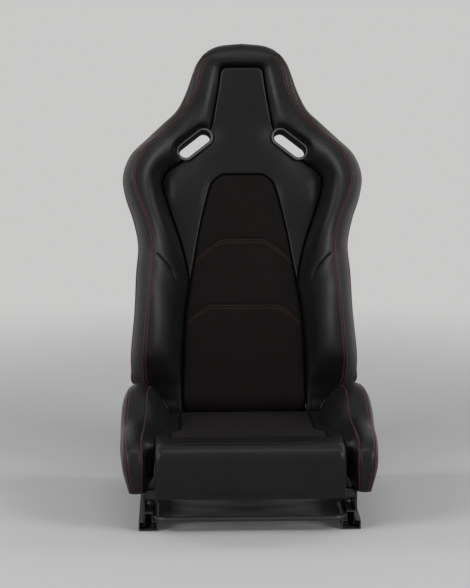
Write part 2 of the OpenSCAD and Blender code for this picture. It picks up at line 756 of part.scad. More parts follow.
// Outer edge of the shell at height s: narrower beside the recliners, then up the wings
shell_foot = shaft_r + 9;
function shell_u(s) = s < disc_r + 8 ? arm_x - 4
    : s < cover_r + 10 ? lerp(arm_x - 4, plate_x + 4, (s - disc_r - 8) / (cover_r + 2 - disc_r))
    : rim_u(s) - 2;
shell_ss = concat([shell_foot, disc_r + 8, cover_r + 9.9, cover_r + 10.1],
    [for (k = [1:6]) cover_r + 10 + 8 * k],
    [for (k = [1:20]) lerp(cover_r + 60, 700 * ks, k / 20)],
    [for (q = [722, 745, 768, 790, 806, 820, 831, 838]) q * ks]);
shell_steps = 6;
// Points across the shell at height s: its flat middle, then steps up each flank
function shell_us(s) =
    let (w = shell_u(s), a = min(lookup(s, flat_part), w - 2),
        flank = [for (i = [1:shell_steps]) lerp(a, w, sin(90 * i / shell_steps))])
    concat([for (u = reversed(flank)) -u], [-a, 0, a], flank);

module back_shell() {
    color([0.05, 0.05, 0.055]) back_frame() difference() {
        loft([for (s = shell_ss) let (us = shell_us(s))
            [[for (u = us) [u, -shell_n(u, s) - shell_t, s]],
                [for (u = us) [u, -shell_n(u, s), s]]]]);
        slot_hole(tube_grow + 0.3);
        for (k = [0, 1]) mirror([k, 0, 0]) arm_bolt_places()
            translate([0, 0, -20]) cylinder(r = 4.2, h = 40);
    }
}

// Rear face of the upholstery: on the shell, and in front of the recliner shaft
function pad_back(u, s) = max(shell_n(u, s) + shell_gap, s < shell_foot ? shaft_r + 3 : 0);

// Section of a bolster at a station: front chain from groove to outer edge, back chain
// on the shell. k is the side, 1 or -1.
function bolster_section(d, k = 1) =
    let (g = [d[0], d[1]], r = [d[2], d[3]], e = [d[5], d[6]],
        gn = face_n(d[1]), rn = d[4], en = d[7],
        across = [[lerp(g, r, 0.01), gn], [lerp(g, r, 0.2), lerp(gn, rn, 0.39)],
            [lerp(g, r, 0.45), lerp(gn, rn, 0.74)], [lerp(g, r, 0.75), lerp(gn, rn, 0.955)],
            [r, rn], [lerp(r, e, 0.55), lerp(rn, en, 0.22)],
            [lerp(r, e, 0.92), lerp(rn, en, 0.6)], [e, en]])
    [[for (a = across) [k * a[0][0], -a[1], a[0][1]]],
        [for (a = across) [k * a[0][0], -pad_back(a[0][0], a[0][1]), a[0][1]]]];

// Slides the groove edge of a station outwards by half the seam
function parted(d) = let (v = [d[2] - d[0], d[3] - d[1]], w = v / norm(v) * seam / 2)
    [for (i = [0:7]) i == 0 ? d[0] + w[0] : i == 1 ? d[1] + w[1] : d[i]];

module wing() {
    color("black") back_frame() difference() {
        loft([for (i = [0:wing_last * steps]) bolster_section(parted(dense[i]))]);
        slot_hole(rim_w + 0.5);
        translate([flange_in - 1, -arm_n - arm_t - 10, 0])
            cube([arm_x - flange_in + 2, 40, flange_s1 + 1]);
        translate([arm_x - 1, -arm_n - 30, 0]) cube([arm_t + 2, 40, flange_s1 + 1]);
    }
}

module headrest_roll() {
    right = [for (i = [wing_last * steps:len(dense) - 1]) parted(dense[i])];
    rows = concat([for (d = right) bolster_section(d)],
        [for (i = [len(right) - 2:-1:0]) bolster_section(right[i], -1)]);
    color("black") back_frame() difference() {
        translate([0, 0, 0.3]) loft(rows);
        slot_hole(rim_w + 0.5);
    }
}

// Slab that follows the back from depth d in front of the shell to the upholstered face
module back_slab(s0, s1, us) {
    n = 26;
    loft([for (i = [0:n]) let (s = lerp(s0, s1, i / n))
        [[for (u = us) [u, -face_n(s), s]],
            [for (u = us) [u, -pad_back(u, s), s]]]]);
}

groove_low = tip_station * steps;
groove = [for (i = [groove_low:len(dense) - 1]) [dense[i][0], dense[i][1]]];

module insert_outline() {
    polygon(concat(insert_edge, reversed(mirrored(insert_edge))));
}

module yoke_outline() {
    difference() {
        polygon(concat([[0, groove[0][1]]], groove, reversed(mirrored(groove))));
        insert_outline();
        translate([-beyond, -beyond]) square([2 * beyond, beyond + groove[0][1] + 6]);
    }
}

yoke_half = 200 * ku;       // half-width that takes in the whole yoke

module yoke_panel() {
    color("black") back_frame() difference() {
        intersection() {
            back_prism(0, wing_t) offset(delta = -seam / 2) yoke_outline();
            back_slab(groove[0][1], groove[len(groove) - 1][1] + 6 * ks,
                [for (k = [-4:4]) k / 4 * yoke_half]);
        }
        slot_hole(rim_w + 0.5);
    }
}

// Half plane of the insert above a seam that is level in the middle and falls outwards
module above_seam(q) {
    u = insert_half;
    edge = lerp(q[1], q[2], (u - q[0]) / (seam_end - q[0]));
    polygon([[-u, edge], [-q[0], q[1]], [q[0], q[1]], [u, edge], [u, 2 * beyond],
        [-u, 2 * beyond]]);
}

module back_insert(s0, s1) {
    color([0.1, 0.09, 0.09]) back_frame() intersection() {
        back_prism(0, wing_t) offset(delta = -seam / 2) children();
        back_slab(s0, s1, [-insert_half, 0, insert_half]);
    }
}

module back_insert_upper() {
    back_insert(330 * ks, 560 * ks) intersection() {
        insert_outline();
        above_seam(upper_seam);
    }
}

module back_insert_middle() {
    back_insert(180 * ks, 400 * ks) intersection() {
        difference() {
            insert_outline();
            above_seam(upper_seam);
        }
        above_seam(lower_seam);
    }
}

module back_insert_lower() {
    back_insert(-back_t + 5, 250 * ks) difference() {
        insert_outline();
        above_seam(lower_seam);
    }
}

// Slot frame: a rim on the upholstery and a tunnel through to the shell
module bezel_half() {
    tunnel_end = slot_back - 5;
    back_frame() right_half() difference() {
        union() {
            back_prism(slot_face - 1, slot_face + 2) slot_outline(rim_w);
            back_prism(tunnel_end, slot_face) slot_outline(tube_grow);
        }
        slot_hole(0);
    }
}

module harness_bezel_right() { color("dimgray") bezel_half(); }
module harness_bezel_left() { left() harness_bezel_right(); }

// Ring that locks the bezel's tunnel behind the shell
module harness_ring_right() {
    color("black") back_frame() right_half() difference() {
        back_prism(ring_n - 3, ring_n) slot_outline(rim_w + 4);
        slot_hole(tube_grow + 0.2);
    }
}

module lower_rail_right() { lower_rail(); }
module lower_rail_left() { left() lower_rail(); }
module upper_rail_right() { upper_rail(); }
module upper_rail_left() { left() upper_rail(); }
module rail_glides_right() { rail_glides(); }
module rail_glides_left() { left() rail_glides(); }
module side_plate_right() { side_plate(); }
module side_plate_left() { left() side_plate(); }
module base_bolster_right() { base_bolster(); }
module base_bolster_left() { left() base_bolster(); }
module side_cover_right() { side_cover(); }
module side_cover_left() { left() side_cover(); }
module recliner_base_right() { recliner_base(); }
module recliner_base_left() { left() recliner_base(); }
module recliner_disc_right() { recliner_disc(); }
module recliner_disc_left() { left() recliner_disc(); }
module recline_knob_right() { recline_knob(); }
module recline_knob_left() { left() recline_knob(); }
module recliner_arm_right() { recliner_arm(); }
module recliner_arm_left() { left() recliner_arm(); }
module wing_right() { wing(); }
module wing_left() { left() wing(); }
module harness_ring_left() { left() harness_ring_right(); }

lower_rail_left();
lower_rail_right();
upper_rail_left();
upper_rail_right();
rail_glides_left();
rail_glides_right();
release_bar();
latch_pins();
latch_springs();
side_plate_left();
side_plate_right();
front_cross_tube();
rear_cross_tube();
seat_springs();
spring_clips();
rail_bolts();
seat_cushion();
seat_insert();
base_bolster_left();
base_bolster_right();
side_cover_left();
side_cover_right();
cover_screws();
recliner_base_left();
recliner_base_right();
recliner_disc_left();
recliner_disc_right();
recline_shaft();
recline_knob_left();
recline_knob_right();
recliner_arm_left();
recliner_arm_right();
arm_bolts();
back_shell();
wing_left();
wing_right();
headrest_roll();
yoke_panel();
back_insert_upper();
back_insert_middle();
back_insert_lower();
harness_bezel_left();
harness_bezel_right();
harness_ring_left();
harness_ring_right();
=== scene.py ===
"""Looks of a reclining sports seat: upholstery, stitching, shell, hardware and stage."""
import json
import math

import bmesh
import bpy
import numpy as np
from bpy.props import FloatProperty, FloatVectorProperty, PointerProperty
from mathutils import Matrix, Vector
from mathutils.geometry import delaunay_2d_cdt


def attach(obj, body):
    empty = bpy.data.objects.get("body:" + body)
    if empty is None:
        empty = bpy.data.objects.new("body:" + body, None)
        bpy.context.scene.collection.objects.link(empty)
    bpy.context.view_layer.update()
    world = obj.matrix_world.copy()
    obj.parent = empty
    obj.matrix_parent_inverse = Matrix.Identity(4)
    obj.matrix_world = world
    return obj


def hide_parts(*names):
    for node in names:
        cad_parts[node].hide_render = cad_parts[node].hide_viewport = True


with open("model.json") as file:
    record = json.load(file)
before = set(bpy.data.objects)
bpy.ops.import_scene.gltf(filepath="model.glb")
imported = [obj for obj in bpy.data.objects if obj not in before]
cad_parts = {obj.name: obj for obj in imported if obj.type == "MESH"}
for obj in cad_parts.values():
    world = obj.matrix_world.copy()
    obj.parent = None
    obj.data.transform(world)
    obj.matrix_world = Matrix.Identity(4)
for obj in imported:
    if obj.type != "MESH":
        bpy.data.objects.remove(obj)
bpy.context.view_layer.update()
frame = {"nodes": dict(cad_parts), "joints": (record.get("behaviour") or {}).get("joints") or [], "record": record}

bl_info = {
    "name": "Sports Seat",
    "version": (1, 0, 0),
    "blender": (4, 5, 0),
    "location": "3D View > Sidebar > Seat",
    "description": "Upholstery, stitching, shell, hardware and stage of a reclining sports seat",
    "category": "Object",
}

# --- Sizes, in millimetres unless they say otherwise ----------------------------------------
# On the backrest u runs across the seat, s up the back from the recline axis and n forward
# from the rear face of the shell. x, y and z are the frame's own directions.
MM = 0.001
SIDES = (1, -1)
SIDE_NAME = {1: "right", -1: "left"}

HINGE = Vector(next(j for j in frame["joints"] if j["name"] == "back_recline")["pos_m"]) / MM
LEAN = math.radians(15)     # of the back from upright, at rest
BACK_T = 55.0       # shell's rear face to the front of the insert
WING_T = 140.0      # shell's rear face to the wing ridges
SHELL_T = 4.0       # thickness of the shell
SEAM = 1.5          # between two upholstered panels
PAD_REST = 0.8      # from the shell's front face to the rear of a flat pad
PROUD = 1.2         # how far the yoke, the seat insert and the slot frames stand proud
EDGE_SPACING = 4.0  # between the points of a panel's outline
FINE = 6            # steps of a section's curve from each of its points to the next
STITCH_LIFT = 0.0001    # of the stitches off the cover, in metres
STITCH_SIDES = 6    # of a thread's section
STITCH_RINGS = [(-0.5, 0.0, -0.9), (-0.36, 0.8, -0.1), (0.0, 1.0, 0.25), (0.36, 0.8, -0.1),
                (0.5, 0.0, -0.9)]   # place along a thread, width and lift

# By height up the back: how far the middle of the shell stands forward, half the width of
# its flat middle, and how far its rim rises
SWAY = [(-60, 0), (0, 0), (80, 6), (170, 12), (290, 7), (400, 0), (520, 0), (640, 6),
        (740, 15), (860, 25)]
FLAT_PART = [(-60, 213.7), (210, 213.7), (300, 150), (400, 150), (545, 180), (600, 130),
             (690, 70), (800, 50), (845, 10)]
RIM_RISE = [(60, 4), (120, 28), (150, 30), (560, 30), (660, 20), (845, 10)]
RIM_MIN = 24        # least width over which the rim rises
RIM_POWER = 1.6     # how late its rise sets in

# Bolster stations up the right side: groove (u, s), ridge (u, s, share of the wing depth),
# outer edge (u, s, depth)
WING_STATIONS = [
    ((142, -42), (170, -42, 0), (194, -42, 34)),
    ((142, 0), (172, 0, 0), (200, 0, 56)),
    ((142, 24), (190, 28, 0.05), (205, 43, 58)),
    ((142, 50), (221, 58, 0.25), (254, 62, 56)),
    ((142, 80), (227, 90, 0.6), (258, 94, 62)),
    ((141, 135), (226, 135, 0.93), (258, 135, 65)),
    ((133, 236), (217, 236, 1), (250, 224, 65)),
    ((124.5, 288), (206, 330, 0.98), (246, 312, 65)),
    ((131, 336), (205, 376, 0.96), (241, 378, 65)),
    ((146, 394), (220, 437, 0.93), (252, 436, 65)),
    ((170, 464), (243, 494, 0.87), (270, 492, 65)),
    ((186, 524), (249, 542, 0.8), (275, 540, 65)),
    ((171, 555), (225, 596, 0.66), (257, 588, 64)),
    ((139, 576), (180, 638, 0.47), (217, 628, 62)),
    ((110, 613.5), (146, 669, 0.38), (182, 661, 60)),
    ((76, 644), (122, 704, 0.3), (150, 692, 60)),
    ((62, 702), (105, 740, 0.26), (128, 734, 60)),
    ((54, 749), (96, 774, 0.22), (112, 779, 62)),
    ((50.5, 778), (87, 796, 0.2), (101, 803, 63)),
    ((47, 788.5), (74, 811, 0.195), (81, 826, 64)),
    ((36, 793.5), (45, 817, 0.19), (52, 840, 65)),
    ((0, 793.5), (0, 819, 0.19), (0, 845, 66)),
]
EDGE_UNDER = 4      # how far an outer edge lies under the depth of its station
TIP_STATION = 7     # lower tip of the yoke
WING_LAST = 14      # the wing ends and the headrest roll begins
CAP_STATION = 19    # cross seam between the stitched sides and the cap over the head

# Back insert: right edge from the bottom to the top edge, and its two level seams
INSERT_LOW = -48
INSERT_TOP = 544
INSERT_SIDE = [(141, 143), (138, 193), (132, 242), (115, 335), (99, 422), (77.5, 507),
               (66, 530), (46, 544)]
UPPER_SEAM = (43, 396, 344)     # half of the level part, height, height at the edge
LOWER_SEAM = (75, 243.5, 196)
SEAM_ROWS = (4.4, 11.0)         # rows of stitches below each seam
SEAM_FALL = 1.4                 # how late a seam's fall to its sides sets in
INSERT_PINCH = ((1.6, 2.2), (1.0, 12.0))    # depth and reach: the seam, the padding round it
INSERT_ROLL = [(60, 17), (190, 13), (330, 7)]   # radius of its rolled edge, by height
INSERT_SOFT = (7.0, 0.72)       # how the roll's depth follows its radius: gain and power
INSERT_SINK = 1.0               # of the whole insert under the face of the yoke
INSERT_TUCK = (36, 40, 24.0)    # lower edge: where its tuck begins, its length, its depth

# Harness slots: middle, straight length, radius of the ends and slope towards the shoulder
SLOT_U, SLOT_S = 110.0, 613.5
SLOT_LENGTH = 53.0
SLOT_RADIUS = 15.5
SLOT_SLOPE = math.radians(38)
SLOT_RIM = 5.6      # width of the frame round a slot
SLOT_EASE = 10.0    # over which the upholstery falls to the frame
SLOT_LEDGE = 1.0    # of the upholstery that lies under the frame
SLOT_BED = 0.5      # depth of that ledge under the face of the yoke
SLOT_WALL = 8       # what lies deeper than this under the ledge stays where it is
SLOT_TUCK = 1.2     # how far the cut edge of the upholstery lies under the frame
SLOT_THROUGH = (-20, 180)   # depths between which the slots are cut through
FRAME_REACH = 3.5   # from a slot to the middle of its frame's section
FRAME_RADIUS = 2.3  # of that section

# Yoke: radius of its rolled edge by height, then the padding of its two side lobes
YOKE_ROLL = [(620, 4), (765, 5.5), (793, 10)]
LOBE_TOP = (515, 640)   # heights between which a lobe falls off towards the shoulder
LOBE_FALL = 8.0
LOBE_REACH = 30.0       # over which it falls off
LOBE_CREST = 500.0      # height of its fullest part
LOBE_SWELL = 5.0
LOBE_LENGTH = 55.0
LOBE_EDGE = 18          # over which it rises from its seams

# Cushion: its profile from the front roll to the back edge, and the plan of its insert
CUSHION_HALF = 199.6    # half of its width
CUSHION_LINE = [(-262, 84), (-268, 100), (-272, 148), (-268, 178), (-250, 193), (-217, 194),
                (-170, 190), (-60, 181.5), (60, 174), (135, 171), (147, 169)]
CUSHION_ENDS = (0, 1.5, 3.5, 6, 9, 13, 18, 24, 32)  # rows of points in from each end
CUSHION_SIDES = (140, 143, 145, 146.2, 147, 147.8, 149, 151, 155, 160, 164, 166.5, 168,
                 169.5, 171)    # and beside the insert's edges
CUSHION_END = 15.0  # rounding of the ends of the front roll
CUSHION_FADE = (-185, 12)   # where it fades out towards the back, and how slowly
CUSHION_TURN = (0.9, 0.5)   # how far the ends turn down and back
CUSHION_FLOOR = 105     # height of its underside
CUSHION_BACK_OF_ROLL = (-250, -235)     # where the underside begins, behind the front face
BED_DEPTH = 9.0     # of the bed that the insert lies in
BED_WALL = 0.8      # how gently its walls fall
BED_PINCH = 1.8     # at the seam round the bed
BED_FROM = (-250, 150)  # y and z past which the cushion's line is clear of the front face
BAR_Y = -170        # front edge of the insert, whose front part is the wider
INSERT_PLAN = [(147, 140), (147, -68), (167, -104), (168, BAR_Y)]
INSERT_THICK = 14
INSERT_CROWN = 2.5

# Base bolster stations from the rear foot over the peak to the front foot: top (y, z),
# spine (y, z), foot x, inner seam x, outer seam x, widest x
BASE_STATIONS = [
    ((113, 98), (60, 98), 168, 216, 250, 262),
    ((115, 140), (62, 104), 163, 214, 251, 266),
    ((108, 186), (66, 104), 158, 210, 252, 268),
    ((87, 229), (64, 104), 158, 209, 253, 270),
    ((50, 258), (46, 102), 160, 212, 254, 272),
    ((0, 266), (0, 100), 166, 218, 257, 274),
    ((-42, 254), (-42, 100), 178, 221, 260, 275),
    ((-105, 216), (-105, 100), 195, 224, 263, 275),
    ((-170, 206), (-165, 100), 199.8, 228, 264, 274),
    ((-216, 198), (-196, 100), 200, 230, 263, 271),
    ((-246, 184), (-205, 98), 203, 229, 261, 269),
    ((-260, 158), (-207, 98), 208, 228, 258, 266),
    ((-262, 126), (-206, 96), 213, 229, 254, 261),
    ((-256, 92), (-205, 90), 216, 230, 249, 255),
]

# Section of a base bolster, each row a run across it and a share of its height: from the
# foot to the inner seam, over the top between the seams, and in from its widest line
BASE_INNER = ((0.26, 0.33), (0.54, 0.67), (0.82, 0.91))
BASE_TOP = ((0, 0.968), (0.3, 0.995), (0.7, 0.997), (1, 0.962))
BASE_OUTER = ((0.8, 0.74), (0, 0.58), (3, 0.38), (10, 0.18), (22, 0.04), (32, 0.0))
BASE_INNER_HIGH = 0.965     # share of the height that the inner face rises to

# Points of a wing's section: beside the groove in millimetres, but no further than these
# shares of the way to the ridge, then over the rest of that way, and down the outer face
SECTION_NEAR = (3.2, 5.8, 8.6, 12.0, 16.5)
SECTION_NEAR_MOST = (0.1, 0.17, 0.25, 0.34, 0.44)
SECTION_FAR = (0.18, 0.36, 0.54, 0.72, 0.88)
SECTION_FACE = (0.1, 0.25, 0.42, 0.6, 0.78, 0.92)
COLUMNS_TO_LIP = (0.07, 0.17, 0.36, 0.6, 0.82, 0.94, 1.0)   # from the outer edge
COLUMNS_TO_END = (0.12, 0.4, 1.0)   # and from the lip

# How strongly the wings are crowned, by height of the ridge, and the rise from the groove
# to the ridge across the headrest's sides and across its cap
CROWN_POWER = [(90, 2.3), (200, 2.1), (290, 1.6), (375, 1.9), (430, 2.5), (480, 3.0),
               (560, 3.5), (610, 3.3), (640, 2.6), (668, 2.2)]
HEAD_RISE = [(0, 0), (0.06, 0.14), (0.13, 0.3), (0.22, 0.5), (0.31, 0.66), (0.42, 0.79),
             (0.55, 0.87), (0.7, 0.91), (0.85, 0.95), (1, 1)]
CAP_RISE = [(0, 0), (0.08, 0.3), (0.18, 0.62), (0.32, 0.88), (0.5, 1.0), (0.7, 1.02), (1, 0.9)]

# How far the outer seam lies inboard of the widest line, by height, and how deep and wide
# the pressed seams are
SEAM_INBOARD = [(60, 8), (450, 9), (530, 6), (640, 3), (800, 0)]
SEAM_DEPTH = 1.6        # on the backrest
BASE_SEAM_DEPTH = 1.5   # on the base bolsters
SEAM_WIDTH = 1.5
CAP_SEAM = (0.9, 1.7)   # depth and width of the cross seam at the headrest's cap

# Short curved dart on each wing, from its outer end in, and the patch that it is sewn in
DART_POINTS = [(210, 357), (195, 350), (180, 337), (167, 322), (159, 308), (154, 294)]
DART_REACH = 9.0
DART_DEPTH = 2.8
DART_WIDTH = 1.3
DART_PUCKER = (0.4, 6)  # share of its depth and reach of the dip round it

STEPS = 9           # rows between two stations
ROWS_FROM = 32      # row of a wing at which its stitches begin
BASE_ROWS_FROM = 12     # and of a base bolster
END_ROUND = 8.0     # rounding of a wing's lower end
END_TURN = math.radians(80)     # how far round it goes
END_ROWS = 4        # rows that it takes
GROOVE_DEPTH = 12.0     # of the seam between a wing and the panels beside it
HEAD_FROM, HEAD_OVER = 680, 60  # where a wing's crown turns into the headrest's, and over what
CAP_FROM, CAP_OVER = 806, 10    # where the sides of the headrest turn into its cap
FACE_FLAT = 0.5     # flatness of the outer face, from a quarter ellipse to a straight slope
LIP = 4             # from the shell's front face to the lip of the outer face
GROOVE_SWELL = (2.0, 5.5, 4.2)  # beside the groove: height, distance from it, width

# What the cap changes: flatness of the outer face, drop of the outer edge and of the ridge,
# reach of the outer edge past the shell's, and how far the lip covers the shell's edge
CAP_FLAT, CAP_DROP, CAP_SINK, CAP_REACH, CAP_LIP = 0.2, 20.0, 1.3, 2.5, 2.5
ROLL_RINGS = (0.6, 1.4, 2.4, 3.8, 5.6, 8.0, 11.0)   # rings of points along a panel's edge

# Finishes of the rigid pieces, by material slot: width of their rounded edges, then the
# group, colour, roughness, scale, strength and depth of the relief, and metal of the finish
HARDWARE = {
    "rail_steel": (0.35, "Speckle", (0.03, 0.03, 0.032), 0.42, 1200, 0.12, 0.0002, 0.0),
    "black_steel": (0.5, "Speckle", (0.014, 0.014, 0.015), 0.45, 900, 0.25, 0.0003, 0.0),
    "zinc": (0.25, "Speckle", (0.5, 0.51, 0.53), 0.36, 1400, 0.1, 0.0001, 1.0),
    "disc_steel": (0.4, "Speckle", (0.16, 0.16, 0.165), 0.5, 1100, 0.2, 0.0002, 0.8),
    "spring_steel": (0, "Speckle", (0.2, 0.2, 0.21), 0.4, 1500, 0.1, 0.0001, 1.0),
    "nylon": (0, "Speckle", (0.03, 0.03, 0.031), 0.5, 900, 0.1, 0.0002, 0.0),
    "black_plastic": (0.9, "Grain", (0.014, 0.014, 0.0145), 0.5, 900, 0.3, 0.0002, 0.0),
}
SHELL_EDGE = 0.9    # width of the shell's rounded edge
SHARP = 38          # angle in degrees past which a rigid piece's edge is rounded

# Lamps: name, place, aim, width, height and share of the key's power; metres
LAMPS = (("key", (0, -1.1, 3.2), (0, 0.15, 0.45), 1.6, 1.0, 0.25),
         ("left", (-2.6, -2.0, 1.9), (0, 0.1, 0.55), 1.2, 1.9, 1.05),
         ("right", (2.6, -2.0, 1.9), (0, 0.1, 0.55), 1.2, 1.9, 1.05),
         ("rear_left", (-2.5, 0.6, 1.8), (0, 0.3, 0.7), 0.4, 1.6, 0.25),
         ("rear_right", (2.5, 0.6, 1.8), (0, 0.3, 0.7), 0.4, 1.6, 0.25))

# Camera, for an image 470 pixels wide: focal length, width and middle of the view in pixels
FOCAL_PX, WIDTH_PX, MIDDLE_PX = 1924.0, 470.0, 246.6


# --- Curves and surfaces ----------------------------------------------------------------------

def smooth_curve(points, steps):
    """Smooth curve through the points, with a number of steps from each to the next."""
    p = np.asarray(points, float)
    p = np.vstack([p[:1], p, p[-1:]])
    t = np.arange(steps)[:, None] / steps
    rows = []
    for a, b, c, d in zip(p[:-3], p[1:-2], p[2:-1], p[3:]):
        rows.append(0.5 * (2 * b + (c - a) * t + (2 * a - 5 * b + 4 * c - d) * t ** 2
                           + (3 * b - a - 3 * c + d) * t ** 3))
    return np.vstack(rows + [p[-1:]])


def lookup(x, table):
    """Value at x of a table of (x, value) rows."""
    table = np.asarray(table, float)
    return np.interp(x, table[:, 0], table[:, 1])


SWAY_CURVE = smooth_curve(SWAY, 8)
DART_LINE = smooth_curve(DART_POINTS, 8)


def back_n(s):
    """Depth of the middle of the shell at height s."""
    return lookup(s, SWAY_CURVE)


def face_n(s):
    """Depth of the insert and yoke at height s; round below the recline axis."""
    s = np.asarray(s, float)
    low = np.sqrt(np.maximum(0, BACK_T ** 2 - np.minimum(s, 0) ** 2))
    return np.where(s < 0, low, BACK_T + back_n(s))


def station_values(station):
    """Groove (u, s), ridge (u, s, n) and outer edge (u, s, n) of a bolster station."""
    groove, ridge, edge = station
    ridge_n = face_n(ridge[1]) * (1 - ridge[2]) + WING_T * ridge[2]
    return [*groove, ridge[0], ridge[1], ridge_n, edge[0], edge[1],
            edge[2] + back_n(edge[1]) - EDGE_UNDER]


STATIONS = np.array([station_values(s) for s in WING_STATIONS])
DENSE = smooth_curve(STATIONS, STEPS)


def rim_u(s):
    """Half width of the shell at height s."""
    return np.interp(s, DENSE[:, 6], DENSE[:, 5])


def shell_n(u, s):
    """Depth of the shell's rear face."""
    a, b = lookup(s, FLAT_PART), rim_u(s)
    share = np.clip((np.abs(u) - a) / np.maximum(b - a, RIM_MIN), 0, 1)
    return back_n(s) + lookup(s, RIM_RISE) * share ** RIM_POWER


def back_world(points):
    """Turns rows of (u, s, n) in millimetres into the frame's metres."""
    p = np.asarray(points, float)
    sin, cos = math.sin(LEAN), math.cos(LEAN)
    y = HINGE.y + p[..., 1] * sin - p[..., 2] * cos
    z = HINGE.z + p[..., 1] * cos + p[..., 2] * sin
    return np.stack([p[..., 0], y, z], axis=-1) * MM


def lengths(line):
    """Distance of each point of a line from its start."""
    step = np.linalg.norm(np.diff(line, axis=0), axis=1)
    return np.concatenate([[0], np.cumsum(step)])


def segment_gap(points, a, b):
    """Distance of each point from a segment, and the share of it at the nearest place."""
    v = b - a
    t = np.clip(((points - a) @ v) / (v @ v + 1e-12), 0, 1)
    return np.linalg.norm(points - a - t[:, None] * v, axis=1), t


def line_gap(points, line):
    """Distance of each point from the nearest part of a line."""
    gap = np.full(len(points), 1e9)
    for a, b in zip(line[:-1], line[1:]):
        gap = np.minimum(gap, segment_gap(points, a, b)[0])
    return gap


def loop_gap(points, loop):
    """Distance of each point from the nearest part of a closed loop."""
    return line_gap(points, np.vstack([loop, loop[:1]]))


def at_lengths(line, where):
    """Points of a polyline at the given distances along it."""
    run = lengths(line)
    return np.stack([np.interp(where, run, line[:, k]) for k in range(line.shape[1])], axis=1)


def ridge_steps(start, marks, end, spacing):
    """Distances from start to end that crowd together beside each mark."""
    near = np.array([0, 0.5, 1.0, 1.6, 2.5, 4.0])
    places = [start, *marks, end]
    out = []
    for k, (a, b) in enumerate(zip(places[:-1], places[1:])):
        inner = np.linspace(a, b, max(3, int(round((b - a) / spacing)) + 1))
        head = a + near if k > 0 else np.array([a])
        tail = b - near[::-1] if k + 2 < len(places) else np.array([b])
        if head[-1] >= tail[0]:
            head, tail = head[:1], tail[-1:]
        inner = inner[(inner > head[-1] + 1.0) & (inner < tail[0] - 1.0)]
        out.extend([*head, *inner, *tail])
    return np.unique(np.round(out, 4))


def slot_distance(u, s):
    """Distance from the middle line of the nearer harness slot."""
    du, ds = np.abs(u) - SLOT_U, s - SLOT_S
    along = du * math.cos(SLOT_SLOPE) - ds * math.sin(SLOT_SLOPE)
    across = du * math.sin(SLOT_SLOPE) + ds * math.cos(SLOT_SLOPE)
    beyond = np.maximum(np.abs(along) - SLOT_LENGTH / 2, 0)
    return np.hypot(beyond, across)


def sink_to_slot(points):
    """Draws the upholstery down to the slot frames."""
    u, s, n = points[..., 0], points[..., 1], points[..., 2]
    d = slot_distance(u, s) - SLOT_RADIUS - SLOT_RIM + SLOT_LEDGE
    share = np.clip(d / SLOT_EASE, 0, 1)
    share = share * share * (3 - 2 * share)
    plane = face_n(SLOT_S) - SLOT_BED
    near = d < SLOT_EASE
    sunk = np.where(near & (n > plane - SLOT_WALL), plane + (n - plane) * share, n)
    out = points.copy()
    out[..., 2] = np.where(near, np.minimum(n, np.maximum(sunk, plane)), n)
    return out


# --- Mesh helpers -------------------------------------------------------------------------------

def deselect_all():
    """Clears the selection, since an operator acts on all that is selected."""
    for item in bpy.context.selected_objects:
        item.select_set(False)


def pick(obj):
    """Makes one object the only one selected, and the active one."""
    deselect_all()
    obj.select_set(True)
    bpy.context.view_layer.objects.active = obj


def make_object(name, verts, faces, uvs=None):
    """New mesh object in the scene; uvs hold one pair for each point."""
    mesh = bpy.data.meshes.new(name)
    mesh.from_pydata([tuple(v) for v in verts], [], [tuple(f) for f in faces])
    if uvs is not None:
        layer = mesh.uv_layers.new(name="seams")
        loops = np.zeros(len(mesh.loops), dtype=np.int64)
        mesh.loops.foreach_get("vertex_index", loops)
        layer.data.foreach_set("uv", np.asarray(uvs, float)[loops].ravel())
    mesh.validate()
    obj = bpy.data.objects.new(name, mesh)
    bpy.context.scene.collection.objects.link(obj)
    return obj


def face_outwards(obj):
    """Merges doubled points and turns every face outwards."""
    mesh = bmesh.new()
    mesh.from_mesh(obj.data)
    bmesh.ops.remove_doubles(mesh, verts=mesh.verts, dist=1e-6)
    bmesh.ops.recalc_face_normals(mesh, faces=mesh.faces)
    mesh.to_mesh(obj.data)
    mesh.free()


def shade(obj, angle):
    """Smooth shading, but for edges sharper than an angle in degrees."""
    pick(obj)
    bpy.ops.object.shade_smooth_by_angle(angle=math.radians(angle))


def apply_modifiers(obj):
    """Applies every modifier of an object, in order."""
    pick(obj)
    for item in list(obj.modifiers):
        bpy.ops.object.modifier_apply(modifier=item.name)


def grid_solid(name, grid, uv_grid):
    """Closed solid from rows of points: the last point of a row meets its first."""
    rows, cols = grid.shape[:2]
    verts = grid.reshape(-1, 3)
    faces = []
    for i in range(rows - 1):
        for j in range(cols):
            k = (j + 1) % cols
            faces.append((i * cols + j, i * cols + k, (i + 1) * cols + k, (i + 1) * cols + j))
    faces.append(tuple(range(cols)))
    faces.append(tuple((rows - 1) * cols + j for j in reversed(range(cols))))
    obj = make_object(name, verts, faces, uv_grid.reshape(-1, 2))
    face_outwards(obj)
    return obj


def finish_pad(obj, body, material, node):
    """Gives a pad its material and smooth shading, puts it on the body that it rides on, and hides the solid that
    it takes the place of.
    """
    obj.data.materials.append(material)
    shade(obj, 50)
    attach(obj, body)
    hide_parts(node)


def mirror_rows(points):
    """The same points on the other side of the seat."""
    out = points.copy()
    out[..., 0] *= -1
    return out


# --- Stitches ---------------------------------------------------------------------------------

